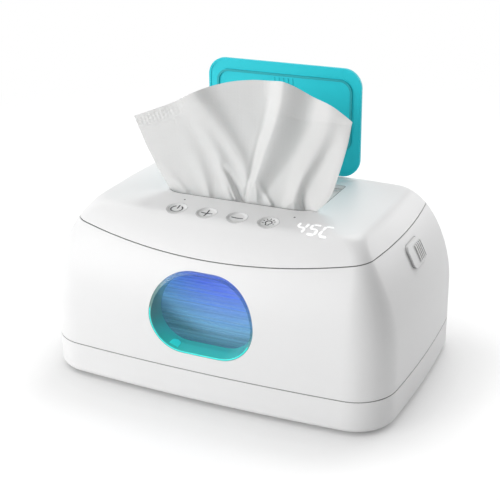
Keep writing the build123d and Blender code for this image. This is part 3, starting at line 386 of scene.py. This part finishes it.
# ---------------------------------------------------------------- mesh helpers
def piece(name, points, faces, body, material, smooth=True):
    """Mesh piece from points in metres, riding on a body."""
    mesh = bpy.data.meshes.new(name)
    mesh.from_pydata(points, [], faces)
    mesh.update()
    if smooth:
        mesh.shade_smooth()
    mesh.materials.append(material)
    made = bpy.data.objects.new(name, mesh)
    scene.collection.objects.link(made)
    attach(made, body)
    return made


def grid_faces(rows, columns, closed=False):
    """Quads of a grid of points, row by row."""
    across = columns if closed else columns - 1
    return [
        (r * columns + c, r * columns + (c + 1) % columns, (r + 1) * columns + (c + 1) % columns, (r + 1) * columns + c)
        for r in range(rows - 1)
        for c in range(across)
    ]


def along(line, t):
    """Point at a share t of a line's length."""
    lengths = [hypot(b[0] - a[0], b[1] - a[1]) for a, b in zip(line, line[1:])]
    left = t * sum(lengths)
    for (a, b), length in zip(zip(line, line[1:]), lengths):
        if left <= length:
            share = left / length
            return tuple(p + (q - p) * share for p, q in zip(a, b))
        left -= length
    return line[-1]


def smoothed(line, count=60):
    """The line as an even row of points with its corners eased."""
    points = [along(line, i / (count - 1)) for i in range(count)]
    for _ in range(6):
        inner = [
            tuple((a + 2 * b + c) / 4 for a, b, c in zip(points[i - 1], points[i], points[i + 1]))
            for i in range(1, count - 1)
        ]
        points = [points[0], *inner, points[-1]]
    return points


# ---------------------------------------------------------------- the wipe drawn through the opening
# lines in mm, (x, z) on the upright plane through y = wipe_plane
wipe_plane = -24.0
wipe_lean = 0.03
wipe_left = smoothed([(-52.3, 125.0), (-60.5, 137.9), (-67.5, 150.5), (-72.1, 161.1), (-76.0, 170.0)])
wipe_right = smoothed(
    [(55.9, 124.6), (61.3, 129.3), (64.4, 134.0), (67.4, 141.8), (69.3, 148.4), (73.2, 161.3), (76.0, 171.9),
     (78.6, 186.3)]
)
wipe_top = smoothed(
    [(-76.0, 170.0), (-61.7, 175.9), (-45.8, 182.9), (-33.8, 188.9), (-20.9, 196.5), (-4.9, 202.1), (11.9, 205.5),
     (24.0, 206.1), (39.2, 203.8), (52.0, 200.0), (63.7, 195.2), (72.2, 190.6), (78.6, 186.3)]
)
wipe_foot = smoothed([(-52.3, 125.0), (-48.7, 122.6), (-31.6, 122.0), (4.0, 121.6), (46.0, 122.0), (55.9, 124.6)])
# folds: line, crest's offset to its right, height, left width and right width, each at its foot and end
wipe_folds = (
    ([(6.3, 123.0), (10.9, 141.1), (17.1, 162.2), (23.1, 179.7), (26.1, 193.3), (26.7, 207.0)],
     (1.2, 5.0), (7.0, 11.0), (1.8, 7.5), (9.0, 22.0)),
    ([(8.0, 128.1), (1.7, 147.5), (-6.3, 158.4), (-16.6, 170.0), (-28.1, 181.5), (-37.4, 190.5)],
     (1.0, 4.0), (2.4, 5.0), (2.2, 9.0), (3.5, 11.0)),
    ([(-8.3, 123.2), (-11.2, 134.9), (-14.0, 145.5), (-20.3, 156.7), (-28.4, 167.6), (-38.1, 180.6)],
     (1.2, 3.0), (3.8, 2.5), (2.2, 8.0), (3.4, 9.0)),
    ([(-23.8, 123.2), (-27.2, 135.0), (-32.4, 145.4), (-37.0, 153.6), (-43.0, 166.0)],
     (1.0, 3.0), (3.2, 0.8), (2.4, 9.0), (3.2, 9.0)),
    ([(-40.1, 123.8), (-46.0, 129.1), (-53.2, 136.1), (-60.0, 144.0)],
     (0.0, 0.0), (2.2, 0.3), (2.4, 6.0), (2.6, 6.0)),
    ([(2.4, 123.7), (-1.7, 132.0), (-6.5, 138.9), (-10.9, 144.7)],
     (0.0, 0.0), (-3.4, -1.2), (1.6, 2.4), (1.8, 2.6)),
    ([(-2.4, 123.7), (-6.0, 132.0), (-9.5, 140.0)],
     (0.0, 0.0), (2.0, 0.4), (0.9, 1.4), (1.0, 1.4)),
    ([(14.0, 127.1), (21.7, 141.0), (34.7, 161.4), (43.2, 181.0), (47.1, 201.6)],
     (1.5, 4.0), (-2.7, -4.5), (6.5, 15.0), (4.6, 10.0)),
    ([(35.4, 123.4), (39.1, 136.3), (46.5, 153.2), (54.3, 170.8), (58.7, 188.6), (59.6, 198.0)],
     (1.5, 4.0), (4.6, 5.4), (4.2, 10.0), (4.0, 9.0)),
    ([(46.0, 123.8), (43.6, 132.6), (47.8, 143.9), (57.3, 156.7), (65.5, 170.1), (69.4, 182.6)],
     (1.0, 1.0), (-3.6, -0.1), (1.4, 5.0), (3.0, 7.0)),
    ([(22.9, 123.2), (18.3, 130.2), (13.7, 137.1)],
     (0.0, 0.0), (2.6, 0.5), (1.5, 2.6), (1.8, 2.8)),
    ([(55.5, 124.0), (66.0, 141.0), (72.0, 158.0), (78.0, 186.0)],
     (0.0, 0.0), (1.5, 10.0), (5.0, 15.0), (6.0, 8.0)),
    ([(3.9, 123.0), (8.1, 141.1), (13.4, 162.2), (18.6, 179.7), (20.8, 193.3)],
     (0.0, 0.0), (-2.2, -0.6), (1.3, 2.4), (1.2, 2.0)),
)
wipe_folds = [(smoothed(line, 30), *rest) for line, *rest in wipe_folds]


def fold_height(x, z):
    """How far the sheet stands out at points of its plane, in mm."""
    total = np.zeros_like(x)
    for line, *spread in wipe_folds:
        near = np.full_like(x, 1e9)
        share, offset = np.zeros_like(x), np.zeros_like(x)
        for i in range(len(line) - 1):
            (ax, az), (bx, bz) = line[i], line[i + 1]
            dx, dz = bx - ax, bz - az
            length = hypot(dx, dz)
            t = np.clip(((x - ax) * dx + (z - az) * dz) / length**2, 0.0, 1.0)
            gap = np.hypot(x - ax - t * dx, z - az - t * dz)
            closer = gap < near
            near = np.where(closer, gap, near)
            share = np.where(closer, (i + t) / (len(line) - 1), share)
            side = np.sign(dz * (x - ax) - dx * (z - az))
            offset = np.where(closer, gap * side, offset)
        shift, height, left_width, right_width = ((low + (high - low) * share) for low, high in spread)
        offset = offset - shift
        width = np.where(offset < 0, left_width, right_width)
        total += height * np.exp(-((offset / width) ** 2))
    rise = np.clip((z - 124) / 60, 0.0, 1.0)
    return total - 0.3 * x * rise


def hem_mark(x, z):
    """Pressed marks of the hem along the upper left edge, in mm."""
    line = [(-76.0, 170.0), (-61.7, 175.9), (-45.8, 182.9), (-33.8, 188.9)]
    near, run = np.full_like(x, 1e9), np.zeros_like(x)
    start = 0.0
    for (ax, az), (bx, bz) in zip(line, line[1:]):
        dx, dz = bx - ax, bz - az
        length = hypot(dx, dz)
        t = np.clip(((x - ax) * dx + (z - az) * dz) / length**2, 0.0, 1.0)
        gap = np.hypot(x - ax - t * dx, z - az - t * dz)
        run = np.where(gap < near, start + t * length, run)
        near = np.minimum(near, gap)
        start += length
    band = np.clip((8.0 - near) / 1.0, 0.0, 1.0) * np.clip((near - 1.2) / 0.8, 0.0, 1.0)
    fade = np.clip((46.0 - run) / 26.0, 0.0, 1.0)
    return 0.17 * band * fade * (np.sin(run * 2.2) + 0.6 * np.sin(near * 2.6 + run * 0.7)) - 0.35 * fade * np.exp(
        -(((near - 8.6) / 0.8) ** 2)
    )


columns, rows, hidden = 210, 130, 16
u, v = np.meshgrid(np.linspace(0, 1, columns), np.linspace(0, 1, rows))
lines = {
    name: np.array([along(line, t) for t in np.linspace(0, 1, count)])
    for name, line, count in (
        ("foot", wipe_foot, columns), ("top", wipe_top, columns),
        ("left", wipe_left, rows), ("right", wipe_right, rows),
    )
}
flat = []
for k in (0, 1):
    corner = (
        (1 - u) * (1 - v) * wipe_foot[0][k] + u * (1 - v) * wipe_foot[-1][k]
        + (1 - u) * v * wipe_top[0][k] + u * v * wipe_top[-1][k]
    )
    flat.append(
        (1 - v) * lines["foot"][:, k] + v * lines["top"][:, k]
        + (1 - u) * lines["left"][:, k][:, None] + u * lines["right"][:, k][:, None] - corner
    )
x, z = flat
lift = fold_height(x, z)
lift = np.minimum(lift, 2.6 + 0.32 * np.maximum(z - 122, 0.0)) + hem_mark(x, z)
# the folds stand out towards the front right and up, square to the sheet as it is drawn
out_x, out_y, out_z = 0.398, -0.833, 0.384
sheet_y = wipe_plane + wipe_lean * (z - 121)
points = np.stack([x + out_x * lift, sheet_y + out_y * lift, z + out_z * lift], axis=-1)
foot_row = points[0]
slot_rows = []
for j in range(hidden, 0, -1):
    w = j / hidden
    fall = min(w / 0.7, 1.0)
    ease = fall * fall * (3 - 2 * fall)
    ripple = 2.6 * np.sin(u[0] * 9 * pi + 0.6)
    low = foot_row[:, 2] + (106.0 - foot_row[:, 2]) * fall - max(w - 0.7, 0.0) / 0.3 * 8.0
    narrowed = foot_row[:, 0] * (1 - 0.36 * ease)
    slot_rows.append(np.stack([narrowed, foot_row[:, 1] * (1 - ease) + ripple * ease, low], axis=-1))
sheet_rows = np.concatenate([np.array(slot_rows), points]).reshape(-1, 3)
sheet_points = (sheet_rows / 1000).tolist()
wipe = piece("pulled_wipe_cloth", sheet_points, grid_faces(rows + hidden, columns), "lid", wipe_cloth)
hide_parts("pulled_wipe")
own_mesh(wipe)

# each latch's bow spring gets a mesh of its own
for side, inner in (("left", 1), ("right", 0)):
    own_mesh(frame["nodes"][f"{side}_latch_spring"])

# ---------------------------------------------------------------- the stack of folded wipes
low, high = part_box("wipe_stack")
layers = 38
pitch = (high[2] - low[2]) / layers
stack_points, stack_faces = [], []
around, profile = 88, 7
for layer in range(layers):
    shift_x, shift_y = 0.0005 * sin(layer * 1.7), 0.0003 * sin(layer * 2.9 + 1)
    half_x = (high[0] - low[0]) / 2 - 0.0012 - 0.0005 * (1 + sin(layer * 3.3))
    half_y = (high[1] - low[1]) / 2 - 0.001 - 0.00025 * (1 + sin(layer * 4.1))
    start = len(stack_points)
    for k in range(profile):
        angle = pi * k / (profile - 1) - pi / 2
        out = cos(angle) * pitch * 0.5
        z = low[2] + pitch * (layer + 0.5) + 0.5 * pitch * sin(angle) * 0.98
        for i in range(around):
            t = 2 * pi * i / around
            cx, cy = cos(t), sin(t)
            ex = abs(cx) ** 0.22 * (1 if cx >= 0 else -1)
            ey = abs(cy) ** 0.22 * (1 if cy >= 0 else -1)
            wave = 0.00025 * sin(layer * 2.1 + 5 * ex + 3 * ey)
            spread = 0.0043 * exp(-layer / 1.3) * (1 - ex**4)
            px = (half_x - pitch * 0.5 + out) * ex + shift_x
            py = (half_y + spread - pitch * 0.5 + out) * ey + shift_y
            stack_points.append((px, py, z + wave))
    stack_faces += [tuple(start + c for c in face) for face in grid_faces(profile, around, closed=True)]
    stack_faces.append(tuple(start + (profile - 1) * around + i for i in range(around)))
    stack_faces.append(tuple(start + around - 1 - i for i in range(around)))
stack = piece("wipe_stack_folds", stack_points, stack_faces, "base", stack_cloth)
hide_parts("wipe_stack")


# ---------------------------------------------------------------- marks on the lid
def surface_of(*names):
    """Search trees of CAD nodes, for laying marks on them."""
    trees = []
    for name in names:
        mesh = frame["nodes"][name].data
        made = bmesh.new()
        made.from_mesh(mesh)
        bmesh.ops.triangulate(made, faces=made.faces)
        trees.append(BVHTree.FromBMesh(made))
        made.free()
    return trees


def lay(trees, x, y, above):
    """Point on the first surface under (x, y), a little above it."""
    hits = [tree.ray_cast(Vector((x, y, 0.15)), Vector((0, 0, -1)), 0.06) for tree in trees]
    hits = [hit for hit in hits if hit[0] is not None]
    spot, normal = max(((hit[0], hit[1]) for hit in hits), key=lambda found: found[0].z)
    return spot + normal * above


def stroke(trees, path, width, above, rounded=True):
    """Flat ribbon along a path on the lid, as points and faces."""
    line = [path[0]]
    for a, b in zip(path, path[1:]):
        steps = max(int(hypot(b[0] - a[0], b[1] - a[1]) / 0.0006), 1)
        line += [(a[0] + (b[0] - a[0]) * k / steps, a[1] + (b[1] - a[1]) * k / steps) for k in range(1, steps + 1)]
    points = []
    for i, (x, y) in enumerate(line):
        ax, ay = line[max(i - 1, 0)]
        bx, by = line[min(i + 1, len(line) - 1)]
        length = hypot(bx - ax, by - ay) or 1.0
        nx, ny = -(by - ay) / length, (bx - ax) / length
        half = width / 2
        if rounded and i in (0, len(line) - 1):
            half *= 0.45
        for side in (-1, 0, 1):
            points.append(tuple(lay(trees, x + nx * half * side, y + ny * half * side, above)))
    return points, grid_faces(len(line), 3)


def marks(name, strokes, body, material, trees, width, above=0.00006):
    """One piece made of several ribbons."""
    points, faces = [], []
    for path in strokes:
        more, quads = stroke(trees, path, width, above)
        faces += [tuple(len(points) + c for c in quad) for quad in quads]
        points += more
    return piece(name, points, faces, body, material)


def arc(cx, cy, radius, start, end, steps=28):
    """Arc as a path, angles in degrees."""
    return [
        (cx + radius * cos(radians(start + (end - start) * k / steps)),
         cy + radius * sin(radians(start + (end - start) * k / steps)))
        for k in range(steps + 1)
    ]


key_y = -0.0496
key_x = [-0.0326 + 0.02183 * i for i in range(4)]
x = key_x[0]
power_mark = [arc(x, key_y - 0.0003, 0.0039, 118, 422), [(x, key_y + 0.0046), (x, key_y + 0.0002)]]
x = key_x[1]
plus_mark = [[(x - 0.0043, key_y), (x + 0.0043, key_y)], [(x, key_y - 0.0043), (x, key_y + 0.0043)]]
x = key_x[2]
minus_mark = [[(x - 0.0042, key_y), (x + 0.0042, key_y)]]
x = key_x[3]
bulb = arc(x, key_y + 0.0005, 0.0021, -60, 240)
neck = [
    (x + 0.00105, key_y - 0.0013), (x + 0.0009, key_y - 0.0031),
    (x - 0.0009, key_y - 0.0031), (x - 0.00105, key_y - 0.0013),
]
light_mark = [bulb, neck]
for angle in (-20, 20, 55, 90, 125, 160, 200):
    cx, cy = cos(radians(angle)), sin(radians(angle))
    light_mark.append(
        [(x + 0.0031 * cx, key_y + 0.0005 + 0.0031 * cy), (x + 0.0045 * cx, key_y + 0.0005 + 0.0045 * cy)]
    )
for key, strokes in (("power", power_mark), ("plus", plus_mark), ("minus", minus_mark), ("light", light_mark)):
    trees = surface_of(f"{key}_button")
    width = 0.0007 if key == "light" else 0.0009
    marks(f"{key}_mark", strokes, f"{key}_key", print_ink, trees, width)

display_ink = Shader("display_ink")
display_ink.join(
    display_ink.mix(display_ink.noise(800.0), linear(248, 250, 252), linear(255, 255, 255)),
    display_ink.body.inputs["Base Color"],
)
display_ink.set(Roughness=0.4, Emission_Color=(1.0, 1.0, 1.0, 1.0), Emission_Strength=0.55)


def figure(left, pattern, width=5.3, height=11.2, lean=0.9):
    """Strokes of one seven-segment figure on the controls' slope, in mm."""
    corner = {
        "a": ((0, 1), (1, 1)), "b": ((1, 1), (1, 0.5)), "c": ((1, 0.5), (1, 0)), "d": ((0, 0), (1, 0)),
        "e": ((0, 0), (0, 0.5)), "f": ((0, 0.5), (0, 1)), "g": ((0, 0.5), (1, 0.5)),
    }
    strokes = []
    for name in pattern:
        (u0, v0), (u1, v1) = corner[name]
        short = 0.09
        u0, u1 = u0 + (u1 - u0) * short, u1 + (u0 - u1) * short
        v0, v1 = v0 + (v1 - v0) * short, v1 + (v0 - v1) * short
        strokes.append([
            ((left + u * width + lean * (v - 0.5)) / 1000, key_y + (v - 0.5) * height * 0.991 / 1000)
            for u, v in ((u0, v0), (u1, v1))
        ])
    return strokes


digits = figure(52.7, "fgbc") + figure(61.1, "afgcd") + figure(69.6, "afed")
lid_surface = surface_of("lid_shell")
marks("display_figures", digits, "lid", display_ink.material, lid_surface, 0.0014)

# shadow line where the dispensing opening's edge turns down
half_width, half_depth, front_radius, back_radius = 0.0555, 0.028, 0.014, 0.002
edge_path = []
corners = (
    (1, 1, back_radius, 0), (-1, 1, back_radius, 90), (-1, -1, front_radius, 180), (1, -1, front_radius, 270),
)
for sx, sy, radius, start in corners:
    edge_path += arc(sx * (half_width - radius), sy * (half_depth - radius), radius + 0.0002, start, start + 90, 12)
edge_path.append(edge_path[0])
# painted shadow: the line's grey stands for the shade where the edge turns down
painted_edge_shadow = moulded("painted_edge_shadow", linear(118, 119, 120), rough=0.6, grain=3000.0, relief=0.1)
marks("opening_edge", [edge_path], "lid", painted_edge_shadow, lid_surface, 0.00034)

# ---------------------------------------------------------------- bead round the window
foot_half, head_half, foot_z, head_z = 42.5, 31.5, 37.0, 91.8
foot_radius, head_radius = 24.0, 30.0


def round_corner(corner, before, after, radius, steps=14):
    """Arc that rounds a corner of the window's outline."""
    a = Vector(before) - Vector(corner)
    b = Vector(after) - Vector(corner)
    a.normalize()
    b.normalize()
    half = a.angle(b) / 2
    reach = radius / tan(half)
    centre = Vector(corner) + (a + b).normalized() * (radius / sin(half))
    start = Vector(corner) + a * reach - centre
    end = Vector(corner) + b * reach - centre
    sweep = start.angle_signed(end)
    return [
        tuple(centre + Matrix.Rotation(-sweep * k / steps, 2) @ start) for k in range(steps + 1)
    ]


window = [(-foot_half, foot_z), (foot_half, foot_z), (head_half, head_z), (-head_half, head_z)]
outline = []
for k, radius in enumerate((foot_radius, foot_radius, head_radius, head_radius)):
    outline += round_corner(window[k], window[k - 1], window[(k + 1) % 4], radius)
front_wall = surface_of("main_housing", "window_cup")
first = min(range(len(outline)), key=lambda i: hypot(outline[i][0] - 36.5, outline[i][1] - 53.0))
path = outline[first:] + outline[:first]
path = path[::-1] if path[1][1] > path[0][1] else path
last = min(range(len(path)), key=lambda i: hypot(path[i][0] + 36.0, path[i][1] - 66.0))
path = smoothed(path[: last + 1], 90)
ring = []
bead, around, window_middle = 0.5, 10, 64.4
for i, (px, pz) in enumerate(path):
    qx, qz = path[min(i + 1, len(path) - 1)]
    rx, rz = path[max(i - 1, 0)]
    nx, nz = (qz - rz), -(qx - rx)
    length = hypot(nx, nz)
    nx, nz = nx / length, nz / length
    if nx * px + nz * (pz - window_middle) < 0:
        nx, nz = -nx, -nz
    inset_x, inset_z = px - nx * 0.6, pz - nz * 0.6
    before = Vector((inset_x / 1000, -0.1, inset_z / 1000))
    hits = [tree.ray_cast(before, Vector((0, 1, 0)), 0.06) for tree in front_wall]
    y = min(hit[0].y for hit in hits if hit[0] is not None) * 1000 + 0.2
    thick = bead * min(1.0, 0.3 + min(i, len(path) - 1 - i) / 4)
    for k in range(around):
        t = 2 * pi * k / around
        rim_x, rim_z = inset_x + nx * thick * cos(t), inset_z + nz * thick * cos(t)
        ring.append((rim_x / 1000, (y + thick * sin(t)) / 1000, rim_z / 1000))
piece("window_bead", ring, grid_faces(len(path), around, closed=True), "base", glowing_cyan_bead)

# clip that holds the cup, moulded on its wall at the lower left
middle = min(range(len(path)), key=lambda i: hypot(path[i][0] + 21.0, path[i][1] - 38.0))
clip, steps, ends = [], 13, 9
spacing = hypot(path[middle][0] - path[middle + 1][0], path[middle][1] - path[middle + 1][1])
for j in range(ends):
    v = j / (ends - 1)
    y = -83.4 + 6.6 * v
    reach_across = 3.6 * sqrt(max(1 - max(0.0, (v - 0.45) / 0.55) ** 2, 0.0))
    for i in range(steps):
        u = 2 * i / (steps - 1) - 1
        place = middle + u * reach_across / spacing
        base_index = int(place)
        share = place - base_index
        px, pz = (a + (b - a) * share for a, b in zip(path[base_index], path[base_index + 1]))
        ax, az = path[base_index]
        bx, bz = path[base_index + 1]
        nx, nz = bz - az, ax - bx
        length = hypot(nx, nz)
        nx, nz = nx / length, nz / length
        if nx * px + nz * (pz - window_middle) < 0:
            nx, nz = -nx, -nz
        inset = 1.2 + 2.3 * (y + 85.2) / 12.0 + 0.05 + 0.45 * (1 - u**4) * (1 - v**4)
        clip.append(((px - nx * inset) / 1000, y / 1000, (pz - nz * inset) / 1000))
# the clip shares the bead's painted cyan glow
piece("window_clip", clip, grid_faces(ends, steps), "base", glowing_cyan_bead)

# ---------------------------------------------------------------- floor, light and camera
floor_mesh = bpy.data.meshes.new("floor")
reach = 4.0
floor_corners = [(-reach, -reach, 0), (reach, -reach, 0), (reach, reach, 0), (-reach, reach, 0)]
floor_mesh.from_pydata(floor_corners, [], [(0, 1, 2, 3)])
floor = bpy.data.objects.new("floor", floor_mesh)
scene.collection.objects.link(floor)
floor_look = Shader("floor_look")
floor_look.set(Base_Color=(*linear(236, 236, 236), 1.0), Roughness=0.95, Specular_IOR_Level=0.1)


def seen_directly(tree):
    """1 for rays that show the stage itself: camera, glossy and transmission rays."""
    rays = tree.nodes.new("ShaderNodeLightPath")
    found = rays.outputs["Is Camera Ray"]
    for name in ("Is Glossy Ray", "Is Transmission Ray"):
        both = tree.nodes.new("ShaderNodeMath")
        both.operation = "MAXIMUM"
        tree.links.new(found, both.inputs[0])
        tree.links.new(rays.outputs[name], both.inputs[1])
        found = both.outputs["Value"]
    return found


glow = floor_look.add("ShaderNodeEmission")
glow.inputs["Color"].default_value = (1.0, 1.0, 1.0, 1.0)
# painted shadow: ambient occlusion darkens the floor's glow near the object, as a soft contact shadow
near = floor_look.add("ShaderNodeAmbientOcclusion", samples=12)
near.inputs["Distance"].default_value = 0.06
open_sky = floor_look.math("POWER", near.outputs["AO"], 1.6)
floor_look.join(floor_look.span(open_sky, 0.5, 1.95), glow.inputs["Strength"])
both_looks = floor_look.add("ShaderNodeMixShader")
floor_look.join(floor_look.math("MULTIPLY", seen_directly(floor_look.tree), 0.3), both_looks.inputs["Fac"])
floor_look.join(floor_look.body.outputs["BSDF"], both_looks.inputs[1])
floor_look.join(glow.outputs["Emission"], both_looks.inputs[2])
# away from the object the floor runs into the white backdrop, whatever side it is seen from
spot = floor_look.add("ShaderNodeNewGeometry")
away = floor_look.add("ShaderNodeVectorMath", operation="LENGTH")
floor_look.join(spot.outputs["Position"], away.inputs[0])
fade = floor_look.add("ShaderNodeMapRange", interpolation_type="SMOOTHSTEP")
floor_look.join(away.outputs["Value"], fade.inputs["Value"])
fade.inputs["From Min"].default_value = 0.3
fade.inputs["From Max"].default_value = 0.8
backdrop = floor_look.add("ShaderNodeEmission")
backdrop.inputs["Color"].default_value = (1.0, 1.0, 1.0, 1.0)
whole_look = floor_look.add("ShaderNodeMixShader")
faded = floor_look.math("MULTIPLY", seen_directly(floor_look.tree), fade.outputs["Result"])
floor_look.join(faded, whole_look.inputs["Fac"])
floor_look.join(both_looks.outputs["Shader"], whole_look.inputs[1])
floor_look.join(backdrop.outputs["Emission"], whole_look.inputs[2])
floor_look.join(whole_look.outputs["Shader"], floor_look.out.inputs["Surface"])
floor_mesh.materials.append(floor_look.material)

world = bpy.data.worlds.new("studio")
scene.world = world
world.use_nodes = True
sky = world.node_tree
surround = sky.nodes["Background"]
surround.inputs["Color"].default_value = (1.0, 1.0, 1.0, 1.0)
surround.inputs["Strength"].default_value = 0.25
seen = sky.nodes.new("ShaderNodeBackground")
seen.inputs["Color"].default_value = (1.0, 1.0, 1.0, 1.0)
seen.inputs["Strength"].default_value = 1.0
blend_sky = sky.nodes.new("ShaderNodeMixShader")
sky.links.new(seen_directly(sky), blend_sky.inputs["Fac"])
sky.links.new(surround.outputs["Background"], blend_sky.inputs[1])
sky.links.new(seen.outputs["Background"], blend_sky.inputs[2])
sky.links.new(blend_sky.outputs["Shader"], sky.nodes["World Output"].inputs["Surface"])


def softbox(name, place, target, size, power):
    """Square area lamp aimed at a point."""
    lamp = bpy.data.lights.new(name, "AREA")
    lamp.size = size
    lamp.energy = power
    holder = bpy.data.objects.new(name, lamp)
    holder.location = place
    holder.rotation_euler = (Vector(target) - Vector(place)).to_track_quat("-Z", "Y").to_euler()
    scene.collection.objects.link(holder)


softbox("front_left", (-1.1, -1.311, 0.636), (0, 0, 0.08), 0.9, 13.2)
softbox("front", (-0.443, -1.654, 0.636), (0, 0, 0.08), 0.9, 5.7)
softbox("left_high", (-1.032, 0, 1.554), (0, 0, 0.08), 0.9, 5.5)
softbox("back_right", (0.856, 1.483, 0.636), (0, 0, 0.08), 0.9, 9.2)
softbox("back_high", (0, 1.032, 1.554), (0, 0, 0.08), 0.9, 10.8)

eye = Vector((0.30466, -0.64663, 0.37564))
right = Vector((0.90478, 0.42569, -0.01304))
up = Vector((-0.15247, 0.35234, 0.92337))
forward = Vector((-0.39766, 0.83346, -0.38368))
camera_data = bpy.data.cameras.new("camera")
camera_data.lens = 80.45
camera_data.sensor_width = 36.0
camera = bpy.data.objects.new("camera", camera_data)
camera.matrix_world = Matrix(
    (
        (right.x, up.x, -forward.x, eye.x), (right.y, up.y, -forward.y, eye.y),
        (right.z, up.z, -forward.z, eye.z), (0, 0, 0, 1),
    )
)
scene.collection.objects.link(camera)
scene.camera = camera
